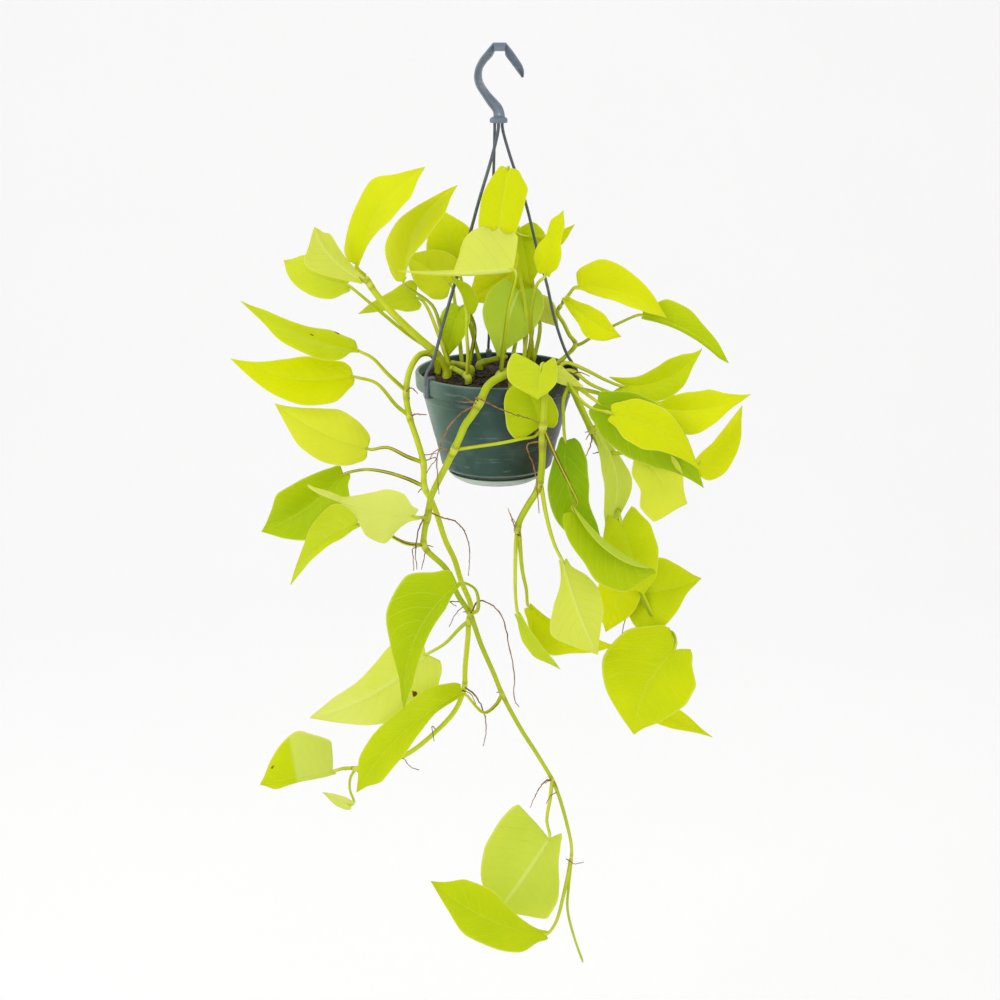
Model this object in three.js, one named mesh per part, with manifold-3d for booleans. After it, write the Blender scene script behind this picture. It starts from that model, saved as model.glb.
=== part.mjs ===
// A lime pothos in a hanging nursery pot, in millimetres, +Z up.
// The origin is the place where the hook bears on what it hangs from, and the pot hangs plumb below it.
// The front of the plant faces -Y. Places of stems and leaves are [x, y, z] in this one frame.

import * as THREE from 'three';
import { mergeVertices } from 'three/addons/utils/BufferGeometryUtils.js';
import Module from 'manifold-3d';

const wasm = await Module();
wasm.setup();

// Driving dimensions
const RIM_Z = -289;           // top of the pot's lip below the bearing face of the hook
const RIM_RADIUS = 75;        // outside of the rim band, a 150 mm pot
const BAND_HEIGHT = 15;
const SHOULDER_RADIUS = 68;   // body just below the band
const POT_HEIGHT = 90;
const POT_FOOT_RADIUS = 51;
const WALL = 1.8;
const CLEAR = 0.3;            // gap between pieces that touch
const SOIL_DROP = 8;          // soil surface below the lip
const SAUCER_HEIGHT = 12;
const SAUCER_RADIUS = 45;
const SAUCER_BASE_RADIUS = 36;
const STRAND_RADIUS = 1.4;
const STRAND_AZIMUTH = { left: 214, right: 344, back: 96 };
const CLIP_WIDTH = 5;         // of a strand's clip, along the pot's lip
const BLADE_THICKNESS = 0.9;
const ROUND_SIDES = 36;
const SOIL_SIDES = 24;
const FLANGE_SIDES = 20;
const PEG_SIDES = 12;
const SOCKET_SIDES = 10;
const FOOT_HOLE_SIDES = 8;

// Directions that a leaf's turn is measured from: seen from the front and a little above
const FRONT = new THREE.Vector3(0, -0.96, 0.28);

const PLASTIC = { roughness: 0.45, metalness: 0 };
const LEAF = { roughness: 0.4, metalness: 0 };
const COLOURS = {
  pot: 0x3f5a5c, saucer: 0xb4c3be, hanger: 0x50595f, soil: 0x32201a,
  lime: 0xcddc05, green: 0x9fbe06,
};

const vec = ([x, y, z]) => new THREE.Vector3(x, y, z);
const rad = THREE.MathUtils.degToRad;

// Booleans

function toSolid(geometry) {
  const bare = geometry.clone();
  bare.deleteAttribute('normal');
  bare.deleteAttribute('uv');
  const merged = mergeVertices(bare, 1e-4);
  return new wasm.Manifold(new wasm.Mesh({
    numProp: 3,
    vertProperties: new Float32Array(merged.attributes.position.array),
    triVerts: new Uint32Array(merged.index.array),
  }));
}

function toGeometry(solid) {
  const mesh = solid.getMesh();
  const geometry = new THREE.BufferGeometry();
  geometry.setAttribute('position', new THREE.BufferAttribute(mesh.vertProperties, 3));
  geometry.setIndex(new THREE.BufferAttribute(mesh.triVerts, 1));
  geometry.computeVertexNormals();
  return geometry;
}

// The largest body of a joined solid, without loose scraps
function wholeBody(solid) {
  const bodies = solid.decompose();
  bodies.sort((a, b) => b.volume() - a.volume());
  return bodies[0];
}

function join(geometries) {
  const solids = geometries.map(toSolid);
  return wholeBody(solids.reduce((sum, solid) => sum.add(solid)));
}

// Round shapes

function lathe(profile, sides = ROUND_SIDES) {
  const points = profile.map(([r, z]) => new THREE.Vector2(r, z));
  points.push(points[0].clone());
  return new THREE.LatheGeometry(points, sides).rotateX(Math.PI / 2);
}

function disc(radius, bottom, top, sides = ROUND_SIDES) {
  const height = top - bottom;
  return new THREE.CylinderGeometry(radius, radius, height, sides)
    .rotateX(Math.PI / 2).translate(0, 0, bottom + height / 2);
}

// A closed tube through the points, with a radius at each point
function taperedTube(points, radii, sides) {
  const curve = new THREE.CatmullRomCurve3(points.map(vec), false, 'centripetal');
  const last = points.length - 1;
  const frames = curveFrames(curve, last);
  const positions = [];
  frames.forEach((frame, i) => {
    for (let k = 0; k < sides; k += 1) {
      const angle = (2 * Math.PI * k) / sides;
      const out = frame.normal.clone().multiplyScalar(Math.cos(angle) * radii[i])
        .addScaledVector(frame.binormal, Math.sin(angle) * radii[i]);
      positions.push(...frame.point.clone().add(out).toArray());
    }
  });
  const first = positions.length / 3;
  positions.push(...frames[0].point.toArray(), ...frames[last].point.toArray());
  const index = [];
  for (let k = 0; k < sides; k += 1) {
    const next = (k + 1) % sides;
    for (let i = 0; i < last; i += 1) {
      const a = i * sides + k;
      const b = i * sides + next;
      index.push(a, b, b + sides, a, b + sides, a + sides);
    }
    index.push(first, next, k);
    index.push(first + 1, last * sides + k, last * sides + next);
  }
  return meshFrom(positions, index);
}

function curveFrames(curve, steps) {
  const frames = [];
  let normal = null;
  for (let i = 0; i <= steps; i += 1) {
    const point = curve.getPoint(i / steps);
    const tangent = curve.getTangent(i / steps);
    if (normal === null) {
      const helper = Math.abs(tangent.z) < 0.9 ? new THREE.Vector3(0, 0, 1) : new THREE.Vector3(1, 0, 0);
      normal = helper.cross(tangent).normalize();
    } else {
      normal = normal.clone().addScaledVector(tangent, -normal.dot(tangent)).normalize();
    }
    frames.push({ point, tangent, normal, binormal: tangent.clone().cross(normal) });
  }
  return frames;
}

function meshFrom(positions, index) {
  const geometry = new THREE.BufferGeometry();
  geometry.setAttribute('position', new THREE.Float32BufferAttribute(positions, 3));
  geometry.setIndex(index);
  return geometry;
}

// Leaves
// A blade runs from its base, where the petiole joins, to its tip. Its two halves, as seen from above with
// the tip ahead, have a width at each row but the last: left and right list them, or else the leaf has
// the common outline, width across both halves.
// roll turns the blade about its length, from facing the front, and twist adds to that toward the tip.
// arch bows the midrib toward the upper face and bend bows it sideways. fold raises both halves.
// foldLeft and foldRight are a half's own fold. lobe is how far the heart's lobes reach back.
// drip is the share of the length taken by a thin drawn-out tip.
// wave is the height of the ruffle along the edge. A petiole is the list of points from its stem on.

const ROWS = [0, 0.07, 0.2, 0.38, 0.58, 0.79, 1];
const HALFWAY_OUT = 0.55;         // the column between midrib and margin, as a share of the half
const COLUMNS = [-1, -HALFWAY_OUT, 0, HALFWAY_OUT, 1];
const OUTLINE = [0.5, 0.8, 0.99, 0.96, 0.77, 0.39];
const TIP_HALF_WIDTH = 0.4;
const DRIP_HALF_WIDTH = 3;        // where a drawn-out tip begins
const NECK_HALF_WIDTH = 1.1;      // half the petiole's width where it enters the blade
const NECK_BEND = 4;              // length of the bend at the top of the petiole
const NECK_LEAN = -0.25;          // how far that bend goes below the blade
const SQUARE_SHARE = 0.88;        // half the side of a petiole's square section, over its radius
const LOBE_CURVE = 0.7;
const WAVES = 9;                  // ripples of the margin, in radians along the blade
const WAVE_START = { left: 2.6, right: 1 };
const LEAST_MITRE = 0.45;

// With a drip tip, the last row before the tip is where the tip begins
function rowsOf(leaf) {
  if (!leaf.drip) return ROWS;
  const beforeTip = ROWS[ROWS.length - 2];
  return ROWS.map((s) => (s < 1 ? (s / beforeTip) * (1 - leaf.drip) : 1));
}

// Width of the left or right half at a share of the length
function halfWidthAt(leaf, side, s) {
  const body = 1 - (leaf.drip ?? 0);
  if (s > body) return DRIP_HALF_WIDTH * (1 - s) / (1 - body);
  const widths = leaf[side] ?? OUTLINE.map((share) => 0.5 * leaf.width * share);
  const all = [...widths, leaf.drip ? DRIP_HALF_WIDTH : TIP_HALF_WIDTH];
  const next = Math.max(1, ROWS.findIndex((row) => row >= s / body - 1e-6));
  const part = (s / body - ROWS[next - 1]) / (ROWS[next] - ROWS[next - 1]);
  return THREE.MathUtils.lerp(all[next - 1], all[next], part);
}

function bladeFrame(leaf) {
  const base = vec(leaf.base);
  const chord = vec(leaf.tip).sub(base);
  const along = chord.clone().normalize();
  const plain = FRONT.clone().addScaledVector(along, -FRONT.dot(along)).normalize();
  const face = plain.applyAxisAngle(along, rad(leaf.roll ?? 0));
  const side = along.clone().cross(face);
  return { base, chord, along, face, side };
}

function bladePoint(leaf, frame, s, u) {
  const bow = 4 * s * (1 - s);
  const slope = 4 * (1 - 2 * s);
  const arch = leaf.arch ?? 0;
  const bend = leaf.bend ?? 0;
  const middle = frame.base.clone().addScaledVector(frame.chord, s)
    .addScaledVector(frame.face, arch * bow).addScaledVector(frame.side, bend * bow);
  const tangent = frame.chord.clone().addScaledVector(frame.face, arch * slope)
    .addScaledVector(frame.side, bend * slope).normalize();
  const turn = rad(leaf.twist ?? 0) * s * s * (3 - 2 * s);
  const up = frame.face.clone().addScaledVector(tangent, -frame.face.dot(tangent)).normalize()
    .applyAxisAngle(tangent, turn);
  const right = tangent.clone().cross(up);
  const half = u > 0 ? 'right' : 'left';
  const reach = halfWidthAt(leaf, half, s) * Math.abs(u);
  const fold = rad((u > 0 ? leaf.foldRight : leaf.foldLeft) ?? leaf.fold ?? 0);
  const ruffle = (leaf.wave ?? 0) * Math.sin(WAVES * s + WAVE_START[half]) * u * u;
  const back = (leaf.lobe ?? 4) * Math.max(0, 1 - 2 * s) ** 2 * Math.abs(u) ** LOBE_CURVE;
  return middle.addScaledVector(right, Math.sign(u) * reach * Math.cos(fold))
    .addScaledVector(up, reach * Math.sin(fold) + ruffle)
    .addScaledVector(tangent, -back);
}

// The rings of the petiole's square section, from the stem to the blade, as lists of four corners
function petioleRings(leaf, frame) {
  const points = leaf.petiole.map(vec);
  const last = points[points.length - 1];
  const arrive = last.clone().sub(frame.base).normalize();
  const bendOut = arrive.clone().addScaledVector(frame.along, -1).addScaledVector(frame.face, NECK_LEAN);
  points.push(frame.base.clone().addScaledVector(bendOut.normalize(), NECK_BEND));
  const start = leaf.petioleRadius ?? 1.9;
  const rings = [];
  let up = frame.face.clone();
  for (let i = points.length - 1; i >= 0; i -= 1) {
    const ahead = i === points.length - 1 ? frame.base : points[i + 1];
    const behind = i === 0 ? points[0] : points[i - 1];
    const tangent = ahead.clone().sub(behind).normalize();
    up = up.clone().addScaledVector(tangent, -up.dot(tangent)).normalize();
    const right = tangent.clone().cross(up);
    const half = THREE.MathUtils.lerp(start, NECK_HALF_WIDTH, i / (points.length - 1)) * SQUARE_SHARE;
    rings.unshift([[-1, 1], [1, 1], [1, -1], [-1, -1]].map(([a, b]) => points[i].clone()
      .addScaledVector(right, a * half).addScaledVector(up, b * half)));
  }
  return rings;
}

// One closed surface: the blade with its own thickness, and the petiole that grows out of its base
function leafGeometry(leaf) {
  const frame = bladeFrame(leaf);
  const neckLeft = NECK_HALF_WIDTH / halfWidthAt(leaf, 'left', 0);
  const neckRight = NECK_HALF_WIDTH / halfWidthAt(leaf, 'right', 0);
  const firstRow = [-1, -HALFWAY_OUT, -neckLeft, neckRight, HALFWAY_OUT, 1]
    .map((u) => bladePoint(leaf, frame, 0, u));
  const grid = rowsOf(leaf).slice(1, -1).map((s) => COLUMNS.map((u) => bladePoint(leaf, frame, s, u)));
  const sheet = [...firstRow, ...grid.flat(), bladePoint(leaf, frame, 1, 0)];
  const tip = sheet.length - 1;
  const columns = COLUMNS.length;
  const at = (row, column) => firstRow.length + row * columns + column;
  const faces = [[0, 1, at(0, 1)], [0, at(0, 1), at(0, 0)], [1, 2, at(0, 2)], [1, at(0, 2), at(0, 1)],
    [2, 3, at(0, 2)], [3, 4, at(0, 3)], [3, at(0, 3), at(0, 2)], [4, 5, at(0, 4)], [4, at(0, 4), at(0, 3)]];
  for (let i = 0; i < grid.length - 1; i += 1) {
    for (let j = 0; j < columns - 1; j += 1) {
      faces.push([at(i, j), at(i, j + 1), at(i + 1, j + 1)], [at(i, j), at(i + 1, j + 1), at(i + 1, j)]);
    }
  }
  const lastRow = grid.length - 1;
  for (let j = 0; j < columns - 1; j += 1) faces.push([at(lastRow, j), at(lastRow, j + 1), tip]);
  const normals = sheet.map(() => new THREE.Vector3());
  const facing = faces.map(([a, b, c]) => {
    const toNext = sheet[b].clone().sub(sheet[a]);
    return toNext.cross(sheet[c].clone().sub(sheet[a]));
  });
  faces.forEach((corners, i) => corners.forEach((corner) => normals[corner].add(facing[i])));
  normals.forEach((normal) => normal.normalize());
  // Where the blade is folded, the offset grows so that both halves keep their thickness
  const mitre = sheet.map(() => 1);
  faces.forEach((corners, i) => corners.forEach((corner) => {
    mitre[corner] = Math.min(mitre[corner], facing[i].clone().normalize().dot(normals[corner]));
  }));
  const positions = [];
  for (const sign of [1, -1]) {
    sheet.forEach((point, i) => {
      const half = BLADE_THICKNESS / 2 / Math.max(LEAST_MITRE, mitre[i]);
      const offset = normals[i].clone().multiplyScalar(sign * half);
      positions.push(...point.clone().add(offset).toArray());
    });
  }
  const count = sheet.length;
  const index = faces.flatMap(([a, b, c]) => [a, b, c, a + count, c + count, b + count]);
  const edge = [3, 4, 5];
  for (let i = 0; i < grid.length; i += 1) edge.push(at(i, columns - 1));
  edge.push(tip);
  for (let i = grid.length - 1; i >= 0; i -= 1) edge.push(at(i, 0));
  edge.push(0, 1, 2);
  for (let i = 0; i < edge.length - 1; i += 1) {
    const a = edge[i];
    const b = edge[i + 1];
    index.push(b, a, a + count, b, a + count, b + count);
  }
  const rings = petioleRings(leaf, frame);
  const loops = rings.map((ring, r) => ring.map((_, k) => 2 * count + 4 * r + k));
  for (const ring of rings) for (const corner of ring) positions.push(...corner.toArray());
  loops.push([2, 3, 3 + count, 2 + count]);
  for (let r = 0; r < loops.length - 1; r += 1) {
    for (let k = 0; k < 4; k += 1) {
      const next = (k + 1) % 4;
      const [a, b, c, d] = [loops[r][k], loops[r][next], loops[r + 1][next], loops[r + 1][k]];
      index.push(a, b, c, a, c, d);
    }
  }
  const [a, b, c, d] = loops[0];
  index.push(a, c, b, a, d, c);
  return meshFrom(positions, index);
}

// Shoots
// A foot is the straight end of a stem or petiole that stands in the soil, from the soil up.

const SOIL_Z = RIM_Z - SOIL_DROP;
const FOOT_DEPTH = 14;
const FOOT_HOLE_GAP = 0.5;        // around a stem's foot
const TUBE_SIDES = 6;
const ROOT_SIDES = 3;
const ROOT_RADIUS = 0.8;
const ROOT_END_RADIUS = 0.45;

function withFoot(points) {
  const [x, y, z] = points[0];
  return [[x, y, SOIL_Z - FOOT_DEPTH], [x, y, Math.min(z, SOIL_Z + 1)], ...points];
}

function stemGeometry(stem) {
  const points = stem.rooted ? withFoot(stem.points) : stem.points;
  const last = points.length - 1;
  const radii = points.map((_, i) => THREE.MathUtils.lerp(stem.radius, stem.endRadius, i / last));
  return taperedTube(points, radii, TUBE_SIDES);
}

function rootGeometry(points) {
  const last = points.length - 1;
  const radii = points.map((_, i) => THREE.MathUtils.lerp(ROOT_RADIUS, ROOT_END_RADIUS, i / last));
  return taperedTube(points, radii, ROOT_SIDES);
}

const SHOOTS = [
  {
    name: 'vine_left',
    colour: COLOURS.lime,
    stem: {
      rooted: true, radius: 2.9, endRadius: 2.2,
      points: [[-55, 15, -290], [-60, 12, -278], [-70, 5, -276], [-79, -5, -287], [-83, -12, -307],
        [-80, -18, -329], [-73, -26, -349], [-67, -34, -369], [-66, -40, -390], [-60, -42, -402],
        [-56, -42, -412], [-47, -42, -441], [-39, -42, -459], [-33, -41, -480], [-24, -38, -506],
        [-26, -32, -522], [-27, -27, -540], [-30, -19, -575], [-31, -16, -595], [-40, -12, -620],
        [-60, -7, -645], [-89, 0, -671], [-121, 4, -684], [-141, 6, -688]],
    },
    leaves: [
      { name: 'L39', petiole: [[-83, -12, -307], [-99, -14, -291], [-114, -13, -275]],
        base: [-127, -12, -268], tip: [-230, -30, -219], roll: 52, fold: 6, arch: 2, bend: -13, lobe: 1,
        left: [3, 6, 22, 31, 28, 11], right: [12, 15, 17, 14, 10, 8] },
      { name: 'L40', petiole: [[-80, -18, -329], [-92, -18, -319], [-110, -17, -298]],
        base: [-131, -16, -292], tip: [-241, -30, -272], roll: 16, fold: 8, arch: 4, bend: -12, lobe: 0,
        left: [4, 12, 23, 25, 20, 10], right: [8, 16, 19, 22, 17, 8] },
      { name: 'L41', petiole: [[-67, -34, -369], [-82, -34, -363], [-100, -28, -356]],
        base: [-119, -24, -358], tip: [-202, -30, -314], roll: 10, fold: 8, arch: 5, lobe: 1, bend: -6,
        left: [8, 15, 22, 25, 22, 11], right: [9, 17, 23, 26, 20, 10] },
      { name: 'L42', petiole: [[-66, -40, -390], [-80, -40, -383], [-100, -34, -378], [-120, -31, -376]],
        base: [-141, -30, -381], tip: [-217, -36, -434], roll: 12, foldLeft: 2, foldRight: 52, arch: 6,
        bend: -8, left: [5, 10, 28, 34, 28, 15], right: [8, 15, 23, 30, 32, 17] },
      { name: 'L46', petiole: [[-26, -32, -522], [-35, -30, -531], [-49, -30, -546]],
        base: [-67, -30, -557], tip: [-177, -36, -618], roll: 172, foldLeft: 58, foldRight: 4, arch: -4,
        lobe: 6, bend: 8, left: [14, 23, 42, 34, 23, 16], right: [14, 26, 37, 35, 28, 14] },
      { name: 'L48', petiole: [[-141, 6, -687], [-150, 7, -688]], base: [-160, 8, -691],
        tip: [-229, -6, -699], roll: 10, foldRight: 4, foldLeft: 20, arch: 4, left: [3, 4, 5, 5, 6, 8],
        right: [28, 33, 38, 44, 37, 22] },
      { name: 'L49', petiole: [[-136, 6, -687], [-142, 6, -696], [-143, 5, -709]], petioleRadius: 1.3,
        base: [-142, 4, -725], tip: [-169, -4, -708], width: 14, roll: -20, fold: 25, lobe: 2 },
    ],
    roots: [
      [[-84, -13, -308], [-78, -20, -302], [-72, -24, -306]],
      [[-79, -19, -328], [-71, -26, -325], [-64, -28, -325]],
      [[-30, -18, -594], [-20, -24, -601], [-12, -28, -617], [-10, -28, -635], [-13, -28, -650]],
    ],
  },
  {
    name: 'vine_long',
    colour: COLOURS.green,
    stem: {
      rooted: true, radius: 4, endRadius: 1.1,
      points: [[14, -48, -289], [12, -58, -280], [2, -71, -280], [-8, -82, -285], [-14, -89, -296],
        [-21, -92, -308], [-28, -92, -318], [-33, -91, -330], [-38, -88, -342], [-45, -82, -358],
        [-54, -72, -378], [-60, -65, -394], [-63, -60, -413], [-66, -60, -427], [-66, -60, -441],
        [-46, -60, -463], [-36, -58, -488], [-25, -56, -507], [-15, -52, -538], [-2, -46, -572],
        [5, -42, -592], [22, -36, -628], [40, -31, -660], [53, -28, -685], [59, -26, -701],
        [67, -23, -731], [72, -20, -757], [72, -18, -775], [70, -16, -801], [69, -14, -827],
        [76, -12, -859], [85, -10, -887]],
    },
    leaves: [
      { name: 'L29',
        petiole: [[-38, -88, -342], [-17, -91, -338], [3, -91, -335], [23, -87, -332], [34, -82, -331]],
        petioleRadius: 1.6, base: [40, -80, -321], tip: [24, -74, -276], roll: 0, fold: 4, lobe: 6, wave: 2,
        left: [21, 28, 30, 28, 26, 20], right: [9, 15, 18, 17, 12, 6] },
      { name: 'L43', petiole: [[-63, -60, -413], [-66, -68, -411]], base: [-75, -78, -407],
        tip: [-168, -96, -371], roll: 10, twist: 40, fold: 6, arch: 5, bend: -8, wave: 3, drip: 0.3,
        left: [3, 4, 11, 27, 26, 9], right: [6, 9, 20, 23, 19, 12] },
      { name: 'L44', petiole: [[-66, -60, -440], [-83, -66, -436], [-101, -70, -425]],
        base: [-127, -70, -417], tip: [-187, -84, -470], roll: 50, fold: 20, arch: 6, bend: 10,
        left: [4, 8, 18, 21, 19, 13], right: [12, 20, 28, 22, 11, 4] },
      { name: 'L45', petiole: [[-25, -56, -507], [-18, -63, -502], [-17, -70, -487], [-21, -77, -475]],
        base: [-36, -82, -470], tip: [-85, -92, -589], roll: 20, fold: 14, arch: 8, bend: 14,
        left: [3, 4, 10, 11, 12, 10], right: [12, 22, 39, 36, 20, 5] },
      { name: 'L47', petiole: [[5, -42, -592], [0, -47, -600], [-12, -54, -606]], base: [-34, -56, -586],
        tip: [-132, -64, -682], roll: 34, fold: 12, arch: 6, bend: 8, left: [3, 4, 5, 13, 21, 21],
        right: [8, 15, 21, 20, 21, 18] },
      { name: 'L50', petiole: [[53, -28, -685], [51, -26, -706], [48, -26, -728]], base: [50, -28, -747],
        tip: [0, -44, -816], roll: 170, foldLeft: 0, foldRight: 20, arch: -4, lobe: 12,
        left: [44, 49, 51, 50, 44, 32], right: [8, 14, 24, 40, 50, 52] },
      { name: 'L51', petiole: [[72, -18, -771], [65, -30, -802], [57, -48, -824]], base: [46, -62, -830],
        tip: [-62, -84, -764], roll: 15, fold: 8, arch: 6, bend: -10, left: [4, 8, 21, 24, 24, 12],
        right: [3, 4, 9, 18, 26, 22] },
    ],
    roots: [
      [[-62, -58, -408], [-54, -52, -414], [-45, -52, -417], [-37, -54, -419], [-31, -54, -426],
        [-26, -54, -439], [-25, -54, -454], [-26, -54, -471]],
      [[-24, -58, -507], [-16, -64, -492], [-3, -64, -497], [6, -62, -511], [11, -60, -534],
        [16, -56, -565], [17, -54, -594], [21, -54, -600]],
      [[53, -28, -685], [47, -36, -682], [41, -38, -688], [37, -38, -696], [32, -38, -709]],
      [[-15, -90, -299], [-18, -96, -292], [-6, -97, -298], [10, -97, -305], [20, -98, -309]],
      [[-15, -90, -299], [-29, -96, -305], [-40, -97, -315], [-47, -95, -328], [-53, -89, -350],
        [-53, -82, -368], [-52, -74, -387]],
      [[-65, -61, -410], [-71, -64, -424], [-74, -66, -440], [-73, -66, -461]],
    ],
  },
  {
    name: 'vine_front',
    colour: COLOURS.green,
    stem: {
      rooted: true, radius: 3.9, endRadius: 2.8,
      points: [[44, -40, -287], [44, -53, -277], [43, -66, -276], [43, -80, -283], [42, -88, -296],
        [41, -90, -320], [40, -89, -361], [37, -87, -378], [27, -86, -396], [20, -87, -410],
        [18, -88, -421]],
    },
    leaves: [
      { name: 'L29_upper', petiole: [[43, -66, -276], [42, -78, -266]], base: [39, -94, -266],
        tip: [36, -100, -293], roll: 0, fold: 5, lobe: 11, wave: 2,
        left: [10, 13, 15, 15, 12, 7], right: [24, 28, 30, 29, 25, 13] },
      { name: 'L31', petiole: [[41, -90, -320], [52, -96, -345], [66, -98, -374], [72, -96, -389]],
        base: [69, -92, -398], tip: [144, -90, -456], roll: 0, arch: 4, foldLeft: 110, foldRight: 2,
        bend: 7, left: [6, 12, 20, 24, 22, 14], right: [8, 15, 21, 25, 32, 28] },
      { name: 'L36', petiole: [[40, -88, -375], [45, -90, -404], [52, -92, -429]], base: [60, -92, -447],
        tip: [92, -98, -532], roll: 165, fold: 5, arch: -4, bend: -4, left: [3, 4, 8, 21, 31, 17],
        right: [4, 7, 19, 26, 24, 13] },
      { name: 'L37', petiole: [[18, -88, -421], [17, -90, -446], [17, -91, -474]], base: [20, -90, -498],
        tip: [58, -96, -547], roll: 55, fold: 20, arch: 4, left: [4, 7, 11, 10, 11, 8],
        right: [3, 4, 8, 11, 12, 6] },
      { name: 'L38', petiole: [[20, -87, -417], [23, -84, -455], [27, -80, -476]], base: [31, -76, -495],
        tip: [110, -66, -535], roll: 10, fold: 14, arch: 5, bend: 9, left: [3, 4, 5, 8, 10, 6],
        right: [4, 9, 18, 23, 13, 7] },
    ],
    roots: [
      [[40, -89, -334], [27, -94, -336], [32, -96, -352], [35, -96, -366], [38, -94, -399]],
      [[18, -88, -418], [14, -92, -406], [10, -92, -395]],
    ],
  },
  {
    name: 'vine_right',
    colour: COLOURS.lime,
    stem: {
      rooted: true, radius: 3.6, endRadius: 2,
      points: [[50, -26, -289], [55, -42, -279], [64, -62, -284], [74, -66, -306], [86, -62, -332],
        [96, -52, -354], [103, -46, -380], [108, -44, -406], [115, -42, -435], [125, -40, -470],
        [138, -40, -501], [152, -40, -531], [160, -38, -559], [159, -36, -590], [152, -34, -613]],
    },
    leaves: [
      { name: 'L21', petiole: [[54, -38, -282], [62, -35, -275], [80, -36, -281], [98, -28, -292]],
        base: [118, -22, -299], tip: [186, -24, -264], roll: -18, foldLeft: 30, foldRight: 4, arch: 3,
        bend: 12, lobe: 17, wave: 2, left: [7, 8, 9, 13, 14, 11], right: [12, 14, 17, 18, 15, 6] },
      { name: 'L22', petiole: [[58, -48, -280], [68, -50, -279], [84, -54, -290], [111, -50, -302]],
        base: [143, -46, -313], tip: [228, -56, -299], roll: -20, foldLeft: 30, foldRight: 2, arch: 4,
        bend: 10, left: [4, 6, 13, 17, 17, 9], right: [4, 7, 17, 24, 16, 5] },
      { name: 'L23', petiole: [[60, -54, -282], [62, -72, -281], [70, -86, -292], [84, -96, -302]],
        base: [102, -100, -306], tip: [179, -106, -355], roll: -5, fold: 6, arch: 7, lobe: 3, bend: -8,
        left: [7, 12, 19, 20, 15, 7], right: [6, 10, 19, 21, 14, 7] },
      { name: 'L24', petiole: [[66, -63, -286], [72, -70, -289]], base: [90, -78, -301],
        tip: [185, -88, -377], roll: 15, fold: 10, arch: -6, bend: -6, left: [9, 16, 25, 28, 24, 13],
        right: [10, 18, 27, 29, 23, 10] },
      { name: 'L27', petiole: [[68, -64, -290], [104, -42, -306], [140, -42, -335], [166, -52, -358]],
        base: [182, -60, -363], tip: [221, -54, -310], roll: 30, fold: 30, arch: -8, bend: 12,
        left: [8, 12, 13, 12, 12, 9], right: [11, 19, 22, 18, 13, 5] },
      { name: 'L28', petiole: [[62, -60, -283], [57, -70, -277]], petioleRadius: 1.2,
        base: [50, -74, -275], tip: [77, -80, -286], width: 13, roll: 10, fold: 12, lobe: 2 },
      { name: 'L30', petiole: [[66, -63, -286], [60, -68, -300], [60, -67, -320]], base: [62, -62, -341],
        tip: [98, -66, -438], roll: 12, fold: 8, arch: 6, bend: 12, left: [8, 16, 21, 20, 14, 10],
        right: [4, 7, 12, 19, 21, 16] },
      { name: 'L25', petiole: [[86, -62, -332], [90, -65, -330]], base: [88, -64, -330],
        tip: [98, -58, -432], roll: 140, fold: 10, arch: -6, bend: 16, left: [3, 4, 10, 14, 14, 11],
        right: [3, 4, 6, 13, 24, 13] },
      { name: 'L26', petiole: [[96, -52, -354], [112, -58, -353]], base: [133, -62, -353],
        tip: [172, -74, -396], roll: 25, fold: 14, arch: 6, bend: 2, left: [4, 7, 22, 27, 23, 11],
        right: [7, 12, 19, 20, 31, 32] },
      { name: 'L32', petiole: [[108, -44, -406], [111, -54, -410]], base: [114, -60, -420],
        tip: [136, -58, -487], roll: 0, fold: 6, arch: 6, lobe: 13, left: [14, 19, 25, 25, 21, 15],
        right: [10, 15, 22, 26, 24, 16] },
      { name: 'L32b', petiole: [[115, -42, -435], [121, -34, -458]], base: [119, -28, -483],
        tip: [102, -34, -533], width: 42, roll: 10, fold: 10, arch: 4 },
      { name: 'L33', petiole: [[115, -42, -435], [124, -30, -463], [124, -24, -485]],
        base: [119, -24, -496], tip: [190, -34, -480], roll: 5, fold: 10, arch: 6, bend: 4,
        left: [4, 8, 24, 33, 31, 19], right: [8, 17, 34, 36, 25, 8] },
      { name: 'L34', petiole: [[152, -40, -531], [163, -46, -529], [166, -54, -535]],
        base: [164, -60, -542], tip: [128, -68, -622], roll: 8, fold: 6, arch: 8, bend: 8, lobe: 12,
        left: [10, 21, 38, 40, 34, 22], right: [18, 31, 46, 49, 38, 18] },
      { name: 'L35', petiole: [[160, -38, -559], [147, -32, -590]], base: [140, -30, -609],
        tip: [205, -28, -641], roll: 10, fold: 14, arch: 4, bend: -2, left: [3, 5, 9, 11, 8, 3],
        right: [4, 7, 11, 10, 7, 3] },
    ],
    roots: [
      [[86, -63, -331], [84, -71, -343], [80, -73, -352]],
      [[62, -64, -281], [74, -68, -276], [83, -70, -279]],
    ],
  },
  {
    name: 'vine_upper_right',
    colour: COLOURS.lime,
    stem: {
      rooted: true, radius: 2.1, endRadius: 1.8,
      points: [[54, 20, -290], [63, 24, -283], [73, 24, -271], [67, 22, -261], [62, 18, -250],
        [56, 14, -238], [60, 12, -230]],
    },
    leaves: [
      { name: 'L18', petiole: [[60, 12, -230], [67, 14, -221]], petioleRadius: 1.6, base: [75, 16, -215],
        tip: [155, -2, -240], roll: -35, fold: 24, arch: 10, bend: -2, left: [14, 22, 28, 25, 18, 10],
        right: [4, 6, 14, 20, 20, 14] },
      { name: 'L20', petiole: [[60, 12, -230], [61, 7, -226]], petioleRadius: 1.5, base: [64, 1, -224],
        tip: [113, -20, -254], roll: 0, fold: 10, arch: 5, bend: 4, left: [3, 4, 7, 11, 12, 7],
        right: [3, 4, 6, 9, 15, 11] },
      { name: 'L19', petiole: [[73, 24, -272], [78, 22, -270], [90, 16, -261], [113, 12, -248]],
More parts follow.
